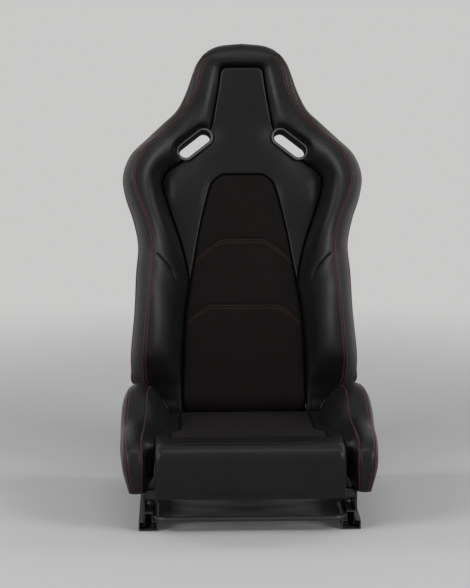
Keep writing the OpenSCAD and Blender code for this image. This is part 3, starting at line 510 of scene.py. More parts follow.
def stitch_shape(length, radius):
    """Points and faces of one thread: a thin spindle along X."""
    verts, faces, first = [], [], []
    for at, width, lift in STITCH_RINGS:
        first.append(len(verts))
        if width == 0.0:
            verts.append((at * length, 0, lift * radius))
            continue
        for k in range(STITCH_SIDES):
            a = math.tau * k / STITCH_SIDES
            verts.append((at * length, width * radius * math.cos(a),
                          width * radius * math.sin(a) + lift * radius))
    for k in range(STITCH_SIDES):
        m = (k + 1) % STITCH_SIDES
        faces.append((first[0], first[1] + m, first[1] + k))
        for r in (1, 2):
            faces.append((first[r] + k, first[r] + m, first[r + 1] + m, first[r + 1] + k))
        faces.append((first[3] + k, first[3] + m, first[4]))
    return np.array(verts), faces


def stitch_rows(name, rows, body, props, material):
    """Threads along rows; a row is a line of points with its outward normals, in metres."""
    shape, shape_faces = stitch_shape(props.stitch_length, props.thread_width / 2)
    verts, faces = [], []
    for line, normals in rows:
        run = lengths(line)
        count = int(run[-1] / props.stitch_pitch)
        if count < 2:
            continue
        where = (np.arange(count) + 0.5) * run[-1] / count
        half = props.stitch_length / 2
        here = at_lengths(line, where)
        along = at_lengths(line, where + half) - at_lengths(line, where - half)
        up = np.stack([np.interp(where, run, normals[:, k]) for k in range(3)], axis=1)
        along /= np.linalg.norm(along, axis=1)[:, None] + 1e-12
        up -= (up * along).sum(1)[:, None] * along
        up /= np.linalg.norm(up, axis=1)[:, None] + 1e-12
        side = np.cross(up, along)
        for o, x, y, z in zip(here, along, side, up):
            base = len(verts)
            verts.extend(o + shape @ np.stack([x, y, z]))
            faces.extend(tuple(base + k for k in f) for f in shape_faces)
    obj = make_object(name, verts, faces)
    obj.data.materials.append(material)
    obj.data.shade_smooth()
    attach(obj, body)
    return obj


# --- Wings and headrest roll -------------------------------------------------------------------

def ease_fold(curve, low, high, share, rounds=70):
    """Rounds a fold of a line of points off, between two of them."""
    for _ in range(rounds if share > 0 else 0):
        middle = (curve[low - 1:high - 1] + curve[low + 1:high + 1]) / 2
        curve[low:high] += share * (middle - curve[low:high])


def bolster_section(d):
    """Cross-section of the bolster at a station, as a line of points from the groove to the
    shell, and the run along it to the ridge, the outer edge, the lip and the end."""
    g, r, e = np.array(d[0:2]), np.array(d[2:4]), np.array(d[5:7])
    gn, rn, en = float(face_n(d[1])), d[4], d[7]
    way = (r - g) / np.linalg.norm(r - g)
    rise = rn - gn
    head = np.clip((r[1] - HEAD_FROM) / HEAD_OVER, 0, 1)
    dome = float(np.clip((r[1] - CAP_FROM) / CAP_OVER, 0, 1))
    power = lookup(r[1], CROWN_POWER)
    flat = FACE_FLAT - CAP_FLAT * dome
    en -= CAP_DROP * dome
    rn -= CAP_SINK * dome
    e = e + np.array([0, CAP_REACH * dome])
    back = max(float(shell_n(e[0], e[1])) + SHELL_T, 9.0 if d[6] < 15 else 0.0)
    out = (e - r) / (np.linalg.norm(e - r) + 1e-9)
    start = g + way * SEAM / 2
    width = np.linalg.norm(r - start)

    def height(t):
        """Depth at a share of the way from the groove to the ridge."""
        swell, place, reach = GROOVE_SWELL
        over = rise * (lookup(t, HEAD_RISE) * (1 - dome) + lookup(t, CAP_RISE) * dome)
        crown = (rise * (1 - (1 - t) ** power)
                 + swell * math.exp(-((t * width - place) / reach) ** 2) * (1 - t))
        return gn - 0.4 + crown * (1 - head) + over * head

    # Wall of the groove and its rolled edge, then the inner face up to the ridge
    points = [(*(g - way * 0.4), gn - GROOVE_DEPTH - 2), (*start, gn - GROOVE_DEPTH),
              (*(start + way * 0.3), gn - 6.0), (*(start + way * 1.3), gn - 1.2)]
    near = np.minimum(np.array(SECTION_NEAR) / width, SECTION_NEAR_MOST)
    far = near[-1] + (1 - near[-1]) * np.array(SECTION_FAR)
    for t in (*near, *far):
        points.append((*(start * (1 - t) + r * t), height(t)))
    mark_ridge = len(points)
    points.append((*r, rn))
    # Outer face, between a straight slope and a quarter of an ellipse
    for q in SECTION_FACE:
        k = flat * q + (1 - flat) * math.sin(math.pi / 2 * q)
        h = flat * q + (1 - flat) * (1 - math.cos(math.pi / 2 * q))
        points.append((*(r * (1 - k) + e * k), rn + (en - rn) * h))
    mark_edge = len(points)
    points.append((*e, en))
    # Down to the lip, then in over the shell's front face
    least = back - CAP_LIP * dome
    low = max(least, min(en - LIP, least + LIP * (1 - dome)))
    mark_lip = len(points) + 1
    points.extend([(*(e + out * 0.6), en - (en - low) * 0.45), (*(e - out * 0.4), low),
                   (*(e - out * 3.0), back + 1.2), (*(e - out * 8.0), back + 0.8)])
    curve = smooth_curve(np.array(points, float), FINE)
    ease_fold(curve, (mark_ridge - 4) * FINE, (mark_ridge + 4) * FINE, 0.5 * dome)
    run = lengths(curve)
    return (curve, run[mark_ridge * FINE], run[mark_edge * FINE], run[mark_lip * FINE],
            run[-1])


def band_shares():
    """Shares of the flat band between two seams, crowded at both of them."""
    b = ridge_steps(0, [4, 44], 60, 3.4)
    return (b[(b > 4) & (b <= 44)] - 4) / 40


def section_layout():
    """Shared places across every section: shares of groove to ridge, ridge to edge, edge to
    the lip at the shell, lip to end."""
    a = ridge_steps(0, [80], 120, 3.4)
    return (a[a <= 80] / 80, band_shares(), np.array(COLUMNS_TO_LIP),
            np.array(COLUMNS_TO_END))


def bolster_rows(first_row, last_row):
    """Grid of the bolster's surface between two rows of the dense stations, its distances
    along and across in metres, and the width of its flat band on each row."""
    first, middle, last, tail = section_layout()
    ridge_column = len(first) - 1
    grid, across, bands = [], [], []
    for station in DENSE[first_row:last_row + 1]:
        curve, ridge, edge, lip, end = bolster_section(station)
        where = np.concatenate([first * ridge, ridge + middle * (edge - ridge),
                                edge + last * (lip - edge), lip + tail * (end - lip)])
        grid.append(at_lengths(curve, where))
        across.append((where - ridge) * MM)
        bands.append(edge - ridge)
    grid = np.array(grid)
    along = lengths(grid[:, ridge_column]) * MM
    uvs = np.stack([np.repeat(along[:, None], grid.shape[1], 1), across], axis=-1)
    return grid, uvs, np.array(bands) - lookup(grid[:, ridge_column, 1], SEAM_INBOARD)


def grid_normals(grid):
    """Outward normals of a grid of points."""
    a = np.gradient(grid, axis=0)
    b = np.gradient(grid, axis=1)
    n = np.cross(b, a)
    return n / (np.linalg.norm(n, axis=2)[..., None] + 1e-12)


def press_seams(grid, runs, seams, depth):
    """Pulls the surface in along the seams; runs hold each point's distance across."""
    normals = grid_normals(grid)
    pull = np.zeros(grid.shape[:2])
    for seam in seams:
        pull = np.maximum(pull, np.exp(-((runs - seam[:, None]) / SEAM_WIDTH) ** 2))
    return grid - normals * (pull * depth)[..., None]


def back_local(points):
    """Turns rows of the frame's metres into (u, s, n) in millimetres."""
    p = np.asarray(points, float) / MM
    sin, cos = math.sin(LEAN), math.cos(LEAN)
    y, z = p[..., 1] - HINGE.y, p[..., 2] - HINGE.z
    return np.stack([p[..., 0], y * sin + z * cos, z * sin - y * cos], axis=-1)


def dart_gap(points):
    """Distance of points from a wing's dart, and how far along it they lie."""
    gap = np.full(len(points), 1e9)
    share = np.zeros(len(points))
    for k, (a, b) in enumerate(zip(DART_LINE[:-1], DART_LINE[1:])):
        away, t = segment_gap(points[:, :2], a, b)
        share = np.where(away < gap, (k + t) / (len(DART_LINE) - 1), share)
        gap = np.minimum(gap, away)
    behind = points[:, 2] < face_n(points[:, 1]) + 2
    return np.where(behind, 1e9, gap), share


def sew_dart(obj):
    """Short curved seam pulled into a wing, on a finer patch of its surface."""
    mesh = bmesh.new()
    mesh.from_mesh(obj.data)

    def measure():
        """Each point's distance from the dart, and its place along it."""
        points = back_local([tuple(vert.co) for vert in mesh.verts])
        points[:, 0] = np.abs(points[:, 0])
        return dart_gap(points)

    gap, share = measure()
    mesh.verts.index_update()
    near = [face for face in mesh.faces
            if len(face.verts) == 4 and all(gap[vert.index] < DART_REACH for vert in face.verts)]
    edges = list({edge for face in near for edge in face.edges})
    bmesh.ops.subdivide_edges(mesh, edges=edges, cuts=3, use_grid_fill=True)
    mesh.normal_update()
    gap, share = measure()
    fade = np.clip((1 - share) * 3, 0, 1) * np.clip((share - 0.12) * 8, 0, 1)
    pucker, reach = DART_PUCKER
    dip = np.exp(-(gap / DART_WIDTH) ** 2) + pucker * np.exp(-(gap / reach) ** 2)
    for vert, depth in zip(mesh.verts, dip * fade * DART_DEPTH):
        vert.co -= vert.normal * float(depth) * MM
    mesh.to_mesh(obj.data)
    mesh.free()


def rounded_end(grid, uvs, edge):
    """Adds rows that round the lower end of a wing off."""
    inward = -grid_normals(grid)[0]
    down = (grid[0] - grid[2]).mean(axis=0)
    down = down / np.linalg.norm(down)
    rows, uv_rows = [], []
    for k in range(END_ROWS, 0, -1):
        turn = k / END_ROWS * END_TURN
        rows.append(grid[0] + down * END_ROUND * math.sin(turn)
                    + inward * END_ROUND * (1 - math.cos(turn)))
        uv_rows.append(uvs[0] - [END_ROUND * turn * MM, 0])
    return (np.concatenate([rows, grid]), np.concatenate([uv_rows, uvs]),
            np.concatenate([np.full(END_ROWS, edge[0]), edge]))


def bolster_piece(first_row, last_row):
    """Sewn surface of a bolster between two rows: its grid, its distances along and across,
    and the place of the outer seam on each row."""
    grid, uvs, edge = bolster_rows(first_row, last_row)
    cap = CAP_STATION * STEPS - first_row
    sewn = np.clip((cap + 1 - np.arange(len(grid))) / 2, 0, 1)
    grid = press_seams(grid, uvs[..., 1] / MM, [np.zeros(len(grid)), edge],
                       SEAM_DEPTH * sewn[:, None])
    if cap < len(grid):
        # Cross seam between the stitched side and the cap
        away = lengths(grid[:, grid.shape[1] // 2])
        front = grid[..., 2] > face_n(grid[..., 1]) - 4
        depth, width = CAP_SEAM
        pull = np.exp(-((away - away[cap]) / width) ** 2)[:, None] * front
        grid = grid - grid_normals(grid) * (pull * depth)[..., None]
    if first_row == 0:
        grid, uvs, edge = rounded_end(grid, uvs, edge)
    return grid, uvs, edge


def seam_row(grid, runs, where):
    """Line on a grid at a distance across from the ridge seam, with its normals."""
    normals = grid_normals(grid)
    line, out = [], []
    for row, run, normal, w in zip(grid, runs, normals, where):
        line.append([np.interp(w, run, row[:, k]) for k in range(3)])
        out.append([np.interp(w, run, normal[:, k]) for k in range(3)])
    return np.array(line), np.array(out)


def back_normals(normals):
    """Turns directions in (u, s, n) into the frame's directions."""
    sin, cos = math.sin(LEAN), math.cos(LEAN)
    return np.stack([normals[:, 0], normals[:, 1] * sin - normals[:, 2] * cos,
                     normals[:, 1] * cos + normals[:, 2] * sin], axis=1)


def cut_slots(obj):
    """Opens the harness slots through a closed piece."""
    for side in SIDES:
        cutter = slot_prism("slot_cutter", side, SLOT_RADIUS + SLOT_RIM - SLOT_TUCK,
                            *SLOT_THROUGH)
        item = obj.modifiers.new("slot", "BOOLEAN")
        item.operation = "DIFFERENCE"
        item.solver = "EXACT"
        item.object = cutter
        apply_modifiers(obj)
        bpy.data.objects.remove(cutter)


def slot_outline(side, radius, count=20):
    """Outline of a slot in u and s."""
    points = []
    for end in (1, -1):
        for k in range(count + 1):
            a = math.pi * k / count - math.pi / 2
            x = end * (SLOT_LENGTH / 2 + radius * math.cos(a))
            y = end * radius * math.sin(a)
            u = SLOT_U + x * math.cos(SLOT_SLOPE) + y * math.sin(SLOT_SLOPE)
            s = SLOT_S - x * math.sin(SLOT_SLOPE) + y * math.cos(SLOT_SLOPE)
            points.append((side * u, s))
    return points


def slot_prism(name, side, radius, low, high):
    """Closed prism in the shape of a slot, between two depths."""
    outline = slot_outline(side, radius)
    k = len(outline)
    verts = back_world([(u, s, n) for n in (low, high) for u, s in outline])
    faces = [tuple(range(k)), tuple(range(2 * k - 1, k - 1, -1))]
    faces += [(i, (i + 1) % k, k + (i + 1) % k, k + i) for i in range(k)]
    obj = make_object(name, verts, faces)
    face_outwards(obj)
    return obj


# --- Flat panels ------------------------------------------------------------------------------

def inside(points, loop):
    """Whether each point lies inside a closed loop."""
    x, y = points[:, 0], points[:, 1]
    a = np.asarray(loop, float)
    b = np.roll(a, -1, axis=0)
    hit = np.zeros(len(points), bool)
    for (x0, y0), (x1, y1) in zip(a, b):
        if y0 == y1:
            continue
        cross = (y0 > y) != (y1 > y)
        hit ^= cross & (x < (x1 - x0) * (y - y0) / (y1 - y0) + x0)
    return hit


def even_loop(points, spacing):
    """Closed loop with points at an even spacing that keeps its corners."""
    out = []
    points = np.asarray(points, float)
    for a, b in zip(points, np.roll(points, -1, axis=0)):
        steps = max(1, int(round(np.linalg.norm(b - a) / spacing)))
        out.extend(a + (b - a) * k / steps for k in range(steps))
    return np.array(out)


def loop_inset(loop, distance):
    """Closed loop moved to the left of its direction."""
    v = np.roll(loop, -1, axis=0) - np.roll(loop, 1, axis=0)
    v /= np.linalg.norm(v, axis=1)[:, None] + 1e-12
    return loop + np.stack([-v[:, 1], v[:, 0]], axis=1) * distance


def counter_clockwise(loop):
    """The closed loop, turned round if it runs clockwise."""
    a = np.asarray(loop, float)
    b = np.roll(a, -1, axis=0)
    area = (a[:, 0] * b[:, 1] - b[:, 0] * a[:, 1]).sum()
    return a if area > 0 else a[::-1].copy()


def panel_outline(points, inset):
    """Closed outline of a panel: evenly spaced, and moved in from its seams."""
    return loop_inset(counter_clockwise(even_loop(points, EDGE_SPACING)), inset)


def panel_plan(outline, grid_step=7.0):
    """Triangles that fill an outline, with rings of points along its edge."""
    edge = counter_clockwise(even_loop(outline, EDGE_SPACING))
    clouds = [edge]
    for d in ROLL_RINGS:
        ring = loop_inset(edge, d)
        keep = inside(ring, edge) & (loop_gap(ring, edge) > d * 0.93)
        clouds.append(ring[keep])
    low, high = edge.min(0), edge.max(0)
    xs = np.arange(low[0] + grid_step / 2, high[0], grid_step)
    ys = np.arange(low[1] + grid_step / 2, high[1], grid_step)
    cloud = np.stack(np.meshgrid(xs, ys), axis=-1).reshape(-1, 2)
    keep = inside(cloud, edge) & (loop_gap(cloud, edge) > ROLL_RINGS[-1] + grid_step / 2)
    clouds.append(cloud[keep])
    count = len(edge)
    edges = [(k, (k + 1) % count) for k in range(count)]
    made = delaunay_2d_cdt([Vector(p) for p in np.vstack(clouds)], edges, [], 1, 1e-6)
    return np.array([tuple(v) for v in made[0]]), made[2], edge


def panel_solid(name, plan, triangles, front, rear, place):
    """Closed panel: front and rear depths over a plan, joined round its edge."""
    count = len(plan)
    top = place(np.column_stack([plan, front]))
    low = place(np.column_stack([plan, rear]))
    faces = [tuple(t) for t in triangles]
    faces += [tuple(count + k for k in reversed(t)) for t in triangles]
    uses = {(a, b): True for t in triangles for a, b in zip(t, [*t[1:], t[0]])}
    faces += [(a, count + a, count + b, b) for a, b in uses if (b, a) not in uses]
    obj = make_object(name, np.vstack([top, low]), faces, np.vstack([plan, plan]) * MM)
    face_outwards(obj)
    return obj


def roll(d, radius):
    """Drop of a padded edge at distance d from its seam."""
    t = np.clip(1 - d / radius, 0, 1)
    return radius * (1 - np.sqrt(1 - t * t))


# --- Back panels ------------------------------------------------------------------------------

GROOVE_LINE = smooth_curve([s[0] for s in WING_STATIONS[TIP_STATION:]], STEPS)
INSERT_LINE = np.vstack([[(142, INSERT_LOW), (142, 100)], smooth_curve(INSERT_SIDE, 5)])


def yoke_loop():
    """Outline of the yoke: groove up and over the head, then round the insert."""
    inner = INSERT_LINE[INSERT_LINE[:, 1] > GROOVE_LINE[0][1] + 7]
    inner = np.vstack([inner, [(0, INSERT_TOP)]])
    inner = np.vstack([inner, mirror_rows(inner[::-1])])
    outer = np.vstack([GROOVE_LINE, mirror_rows(GROOVE_LINE[::-1])])
    return np.vstack([outer, inner[::-1]])


def insert_edge(s):
    """Half width of the back insert at height s."""
    return np.interp(s, INSERT_LINE[:, 1], INSERT_LINE[:, 0])


def seam_line(seam):
    """Seam of the insert from edge to edge: level in the middle, falling to the sides."""
    level, high, low = seam
    edge = insert_edge(low)
    u = np.linspace(-1, 1, 81) * edge
    t = np.clip((np.abs(u) - level) / (edge - level), 0, 1)
    return np.column_stack([u, high - (high - low) * t ** SEAM_FALL])


def insert_loops():
    """Outlines of the lower, middle and upper panels of the back insert, and its seams."""
    lines = [seam_line(LOWER_SEAM), seam_line(UPPER_SEAM)]
    foot, head = INSERT_LINE[0][0], INSERT_SIDE[-1][0]
    levels = [np.array([(-foot, INSERT_LOW), (foot, INSERT_LOW)]), *lines,
              np.array([(-head, INSERT_TOP), (head, INSERT_TOP)], float)]
    loops = []
    for bottom, top in zip(levels[:-1], levels[1:]):
        s = INSERT_LINE[:, 1]
        side = INSERT_LINE[(s > bottom[-1][1] + 4) & (s < top[-1][1] - 4)]
        loops.append(np.vstack([bottom, side, top[::-1], mirror_rows(side[::-1])]))
    return loops, lines


# --- Materials --------------------------------------------------------------------------------

def add_node(tree, kind, place, inputs=None, **settings):
    """New node at a place in its tree, with its settings and the values of its inputs."""
    node = tree.nodes.new(kind)
    node.location = place
    for key, value in settings.items():
        setattr(node, key, value)
    set_inputs(node, inputs or {})
    return node


def set_inputs(node, values):
    """Sets a node's inputs from their names."""
    for key, value in values.items():
        node.inputs[key].default_value = value


def join(tree, *pairs):
    """Links pairs of sockets."""
    for source, target in pairs:
        tree.links.new(source, target)


def new_group(name, inputs):
    """Finish group: its inputs by name, and a height, a colour and a roughness put out."""
    group = bpy.data.node_groups.new(name, "ShaderNodeTree")
    for label, value in inputs.items():
        kind = "NodeSocketColor" if isinstance(value, tuple) else "NodeSocketFloat"
        socket = group.interface.new_socket(label, in_out="INPUT", socket_type=kind)
        socket.default_value = value
    for label, kind in (("Height", "NodeSocketFloat"), ("Colour", "NodeSocketColor"),
                        ("Roughness", "NodeSocketFloat")):
        group.interface.new_socket(label, in_out="OUTPUT", socket_type=kind)
    start = add_node(group, "NodeGroupInput", (-900, 0))
    end = add_node(group, "NodeGroupOutput", (700, 0))
    coords = add_node(group, "ShaderNodeTexCoord", (-900, 300))
    return group, start.outputs, end.inputs, coords.outputs["Object"]


def slow_changes(group, given, out, place, noise, tones):
    """Slow changes of gloss and tone over a surface."""
    slow = add_node(group, "ShaderNodeTexNoise", (-600, -200), noise)
    shift = add_node(group, "ShaderNodeMath", (-380, -300), {1: 0.5}, operation="SUBTRACT")
    gloss = add_node(group, "ShaderNodeMath", (-160, -300), operation="MULTIPLY_ADD")
    tone = add_node(group, "ShaderNodeMapRange", (-160, -60), tones)
    tint = add_node(group, "ShaderNodeVectorMath", (320, -60), operation="SCALE")
    join(group, (place, slow.inputs["Vector"]),
         (slow.outputs["Fac"], shift.inputs[0]), (shift.outputs[0], gloss.inputs[0]),
         (given["Change"], gloss.inputs[1]), (given["Roughness"], gloss.inputs[2]),
         (gloss.outputs[0], out["Roughness"]), (slow.outputs["Fac"], tone.inputs["Value"]),
         (given["Colour"], tint.inputs[0]), (tone.outputs[0], tint.inputs["Scale"]),
         (tint.outputs[0], out["Colour"]))


def grain_group():
    """Hide grain: small cells with creases between them, and slow changes of gloss."""
    group, given, out, place = new_group(
        "Grain", {"Scale": 700.0, "Colour": (0.02, 0.02, 0.02, 1), "Roughness": 0.4,
                  "Change": 0.1})
    warp = add_node(group, "ShaderNodeTexNoise", (-700, 120), {"Scale": 90})
    bend = add_node(group, "ShaderNodeVectorMath", (-520, 260), {1: (0.002, 0.002, 0.002)},
                    operation="MULTIPLY_ADD")
    cells = add_node(group, "ShaderNodeTexVoronoi", (-340, 260), feature="DISTANCE_TO_EDGE")
    crease = add_node(group, "ShaderNodeMapRange", (-160, 260), {"From Max": 0.22})
    fine = add_node(group, "ShaderNodeTexNoise", (-340, 20), {"Scale": 2600})
    blend = add_node(group, "ShaderNodeMath", (60, 200), {1: 0.25}, operation="MULTIPLY_ADD")
    join(group, (place, warp.inputs["Vector"]), (warp.outputs["Color"], bend.inputs[0]),
         (place, bend.inputs[2]), (bend.outputs[0], cells.inputs["Vector"]),
         (given["Scale"], cells.inputs["Scale"]), (cells.outputs["Distance"], crease.inputs[0]),
         (place, fine.inputs["Vector"]), (fine.outputs["Fac"], blend.inputs[0]),
         (crease.outputs[0], blend.inputs[2]), (blend.outputs[0], out["Height"]))
    slow_changes(group, given, out, place, {"Scale": 9, "Detail": 4},
                 {"From Min": 0.3, "From Max": 0.7, "To Min": 0.86, "To Max": 1.14})
    return group


def speckle_group():
    """Fine even speckle for coated and moulded surfaces, cloth and thread."""
    group, given, out, place = new_group(
        "Speckle", {"Scale": 1500.0, "Colour": (0.02, 0.02, 0.02, 1), "Roughness": 0.5,
                    "Change": 0.12})
    fine = add_node(group, "ShaderNodeTexNoise", (-600, 240), {"Detail": 3})
    join(group, (place, fine.inputs["Vector"]), (given["Scale"], fine.inputs["Scale"]),
         (fine.outputs["Fac"], out["Height"]))
    slow_changes(group, given, out, place, {"Scale": 22, "Detail": 5},
                 {"To Min": 0.85, "To Max": 1.15})
    return group


FINISH_GROUPS = {"Grain": grain_group, "Speckle": speckle_group}


def surface(name, group_name, colour, roughness, scale, strength, depth, metallic=0.0,
            change=0.12, specular=0.5, coat=0.0, coat_roughness=0.1, sheen=0.0):
    """Material whose colour, gloss and relief come from a shared group."""
    label = name + "_finish"
    if label in bpy.data.materials:
        return bpy.data.materials[label]
    material = bpy.data.materials.new(label)
    material.use_nodes = True
    tree = material.node_tree
    group = add_node(tree, "ShaderNodeGroup", (-500, 100))
    group.node_tree = bpy.data.node_groups.get(group_name) or FINISH_GROUPS[group_name]()
    set_inputs(group, {"Colour": (*colour, 1), "Roughness": roughness, "Scale": scale,
                       "Change": change})
    relief = add_node(tree, "ShaderNodeBump", (-240, -160),
                      {"Strength": strength, "Distance": depth})
    shader = tree.nodes["Principled BSDF"]
    set_inputs(shader, {"Metallic": metallic, "Specular IOR Level": specular,
                        "Coat Weight": coat, "Coat Roughness": coat_roughness,
                        "Sheen Weight": sheen})
    join(tree, (group.outputs["Colour"], shader.inputs["Base Color"]),
         (group.outputs["Roughness"], shader.inputs["Roughness"]),
         (group.outputs["Height"], relief.inputs["Height"]),
         (relief.outputs["Normal"], shader.inputs["Normal"]))
    return material


def leatherette(looks):
    """Smooth leatherette of the wings, the yoke, the cushion and the base bolsters."""
    return surface("smooth_leatherette", "Grain", looks.leather_colour,
                   looks.leather_roughness, 620, 0.25, 0.0002, specular=0.2)


def insert_cloth(looks):
    """Matte cloth of the back insert and the seat insert."""
    return surface("matte_insert", "Speckle", looks.insert_colour, looks.insert_roughness,
                   1800, 0.5, 0.0003, change=0.1, specular=0.04, sheen=0.01)


def thread(name, colour):
    """Sewing thread in one colour."""
    return surface(name, "Speckle", colour, 0.6, 2500, 0.3, 0.0001)


# --- Settings -----------------------------------------------------------------------------------

class SeatLooks(bpy.types.PropertyGroup):
    leather_colour: FloatVectorProperty(
        name="Leatherette", description="Colour of the smooth leatherette", size=3,
        subtype="COLOR", default=(0.0085, 0.0083, 0.0085), min=0, max=1)
    leather_roughness: FloatProperty(
        name="Leatherette roughness", description="Roughness of the smooth leatherette",
        default=0.33, min=0, max=1)
    insert_colour: FloatVectorProperty(
        name="Insert", description="Colour of the matte inserts", size=3,
        subtype="COLOR", default=(0.0095, 0.0083, 0.0078), min=0, max=1)
    insert_roughness: FloatProperty(
        name="Insert roughness", description="Roughness of the matte inserts",
        default=0.78, min=0, max=1)
    thread_colour: FloatVectorProperty(
        name="Thread", description="Colour of the contrast thread", size=3,
        subtype="COLOR", default=(0.27, 0.02, 0.028), min=0, max=1)
    insert_thread_colour: FloatVectorProperty(
        name="Insert thread", description="Colour of the thread on the inserts", size=3,
        subtype="COLOR", default=(0.1, 0.033, 0.033), min=0, max=1)
    shell_colour: FloatVectorProperty(
        name="Shell", description="Colour of the composite shell", size=3,
        subtype="COLOR", default=(0.008, 0.008, 0.009), min=0, max=1)
    # Lighter grey of the slot frame rings: a painted highlight along the rims of the dark slot bezels
    frame_highlight_colour: FloatVectorProperty(
        name="Slot frames", description="Colour of the harness slot frames", size=3,
        subtype="COLOR", default=(0.1, 0.1, 0.103), min=0, max=1)


class SeatStitching(bpy.types.PropertyGroup):
    stitch_pitch: FloatProperty(
        name="Pitch", description="Distance from stitch to stitch",
        default=0.0055, min=0.003, max=0.01, unit="LENGTH")
    stitch_length: FloatProperty(
        name="Length", description="Length of one visible stitch",
        default=0.0038, min=0.002, max=0.008, unit="LENGTH")
    thread_width: FloatProperty(
        name="Thread", description="Thickness of the thread",
        default=0.0009, min=0.0005, max=0.002, unit="LENGTH")
    row_offset: FloatProperty(
        name="Row offset", description="Distance of a stitch row from its seam",
        default=0.0034, min=0.002, max=0.008, unit="LENGTH")


class SeatStage(bpy.types.PropertyGroup):
    floor_colour: FloatVectorProperty(
        name="Floor", description="Colour of the floor and backdrop", size=3,
        subtype="COLOR", default=(0.58, 0.58, 0.575), min=0, max=1)
    key_power: FloatProperty(
        name="Key power", description="Power of the key box; the others follow it",
        default=54, min=0, max=500, unit="POWER")
    fill: FloatProperty(
        name="Fill", description="Strength of the light from all round",
        default=0.22, min=0, max=2)
    camera_distance: FloatProperty(
        name="Camera distance", description="Distance from the camera to the seat's middle",
        default=4.2, min=1, max=12, unit="LENGTH")
    camera_height: FloatProperty(
        name="Camera elevation", description="Angle of the camera above the horizon",
        default=math.radians(10), subtype="ANGLE")
    camera_turn: FloatProperty(
        name="Camera azimuth", description="Angle of the camera from the front",
        default=math.radians(-1.9), subtype="ANGLE")
    camera_aim: FloatProperty(
        name="Aim height", description="Height that the camera looks at",
        default=0.469, min=0, max=1.2, unit="LENGTH")


# --- Operators: one for each piece or group of like pieces ------------------------------------

class SEAT_OT_bolsters(bpy.types.Operator):
    """Wings and headrest roll of the backrest, with their seams and stitches"""
    bl_idname = "seat.bolsters"
    bl_label = "Wings and headrest roll"

    def execute(self, context):
        looks, sewing = context.scene.seat_looks, context.scene.seat_stitching
        leather = leatherette(looks)
        rows = self.wings(leather, sewing) + self.headrest(leather, sewing)
        stitch_rows("back_stitches", rows, "backrest", sewing,
                    thread("thread", looks.thread_colour))
        return {"FINISHED"}

    @classmethod
    def wings(cls, leather, sewing):
        """Both wings; gives back their stitch rows."""
        rows = []
        grid, uvs, edge = bolster_piece(0, WING_LAST * STEPS)
        grid = sink_to_slot(grid)
        for side in SIDES:
            shape = grid if side > 0 else mirror_rows(grid)
            wing = grid_solid("wing_pad_" + SIDE_NAME[side], back_world(shape), uvs)
            sew_dart(wing)
            cut_slots(wing)
            finish_pad(wing, "backrest", leather,
                       "wing_" + SIDE_NAME[side])
            rows += cls.rows(shape[ROWS_FROM:], uvs[ROWS_FROM:], edge[ROWS_FROM:], sewing,
                             side)
        return rows

    @classmethod
    def headrest(cls, leather, sewing):
        """Headrest roll over both sides; gives back its stitch rows."""
        grid, uvs, edge = bolster_piece(WING_LAST * STEPS, len(DENSE) - 1)
        half = len(grid)
        grid = sink_to_slot(np.vstack([grid, mirror_rows(grid[::-1])[1:]]))
        uvs = np.vstack([uvs, uvs[::-1][1:]])
        uvs[half:, :, 0] = 2 * uvs[half - 1, 0, 0] - uvs[half:, :, 0]
        edge = np.concatenate([edge, edge[::-1][1:]])
        head = grid_solid("headrest_pad", back_world(grid), uvs)
        cut_slots(head)
        finish_pad(head, "backrest", leather, "headrest_roll")
        cut = (CAP_STATION - WING_LAST) * STEPS
        rows = []
        for part in (slice(0, cut), slice(len(grid) - cut, len(grid))):
            rows += cls.rows(grid[part], uvs[part], edge[part], sewing, 1)
        return rows

    @staticmethod
    def rows(grid, uvs, edge, sewing, side):
        """Stitch rows beside the ridge seam and the outer seam."""
        off = sewing.row_offset / MM
        runs = uvs[..., 1] / MM
        made = []
        for where in (np.full(len(runs), -off), np.full(len(runs), off),
                      edge - off, edge + off):
            line, normals = seam_row(grid, runs, where)
            out = back_normals(normals) * (1 if side > 0 else -1)
            made.append((back_world(line) + out * STITCH_LIFT, out))
        return made


class SEAT_OT_yoke(bpy.types.Operator):
    """Yoke panel: headrest centre, the space between the slots and the two side yokes"""
    bl_idname = "seat.yoke"
    bl_label = "Yoke panel"

    def execute(self, context):
        plan, triangles, edge = panel_plan(panel_outline(yoke_loop(), SEAM / 2))
        d = loop_gap(plan, edge)
        front = face_n(plan[:, 1]) - roll(d, lookup(plan[:, 1], YOKE_ROLL)) + PROUD
        points = sink_to_slot(np.column_stack([plan, front + self.lobes(plan, d)]))
        rear = shell_n(plan[:, 0], plan[:, 1]) + SHELL_T + PAD_REST
        yoke = panel_solid("yoke_pad", plan, triangles, points[:, 2], rear, back_world)
        cut_slots(yoke)
        finish_pad(yoke, "backrest", leatherette(context.scene.seat_looks),
                   "yoke_panel")
        return {"FINISHED"}

    @staticmethod
    def lobes(plan, d):
        """Padding of the side yokes: swollen, and falling off under the shoulders."""
        low, high = LOBE_TOP
        shoulder = GROOVE_LINE[(GROOVE_LINE[:, 1] > low) & (GROOVE_LINE[:, 1] < high)]
        gap = line_gap(np.column_stack([np.abs(plan[:, 0]), plan[:, 1]]), shoulder)
        swell = (np.exp(-((plan[:, 1] - LOBE_CREST) / LOBE_LENGTH) ** 2)
                 * np.clip(d / LOBE_EDGE, 0, 1))
        return LOBE_SWELL * swell - LOBE_FALL * np.exp(-(gap / LOBE_REACH) ** 2)


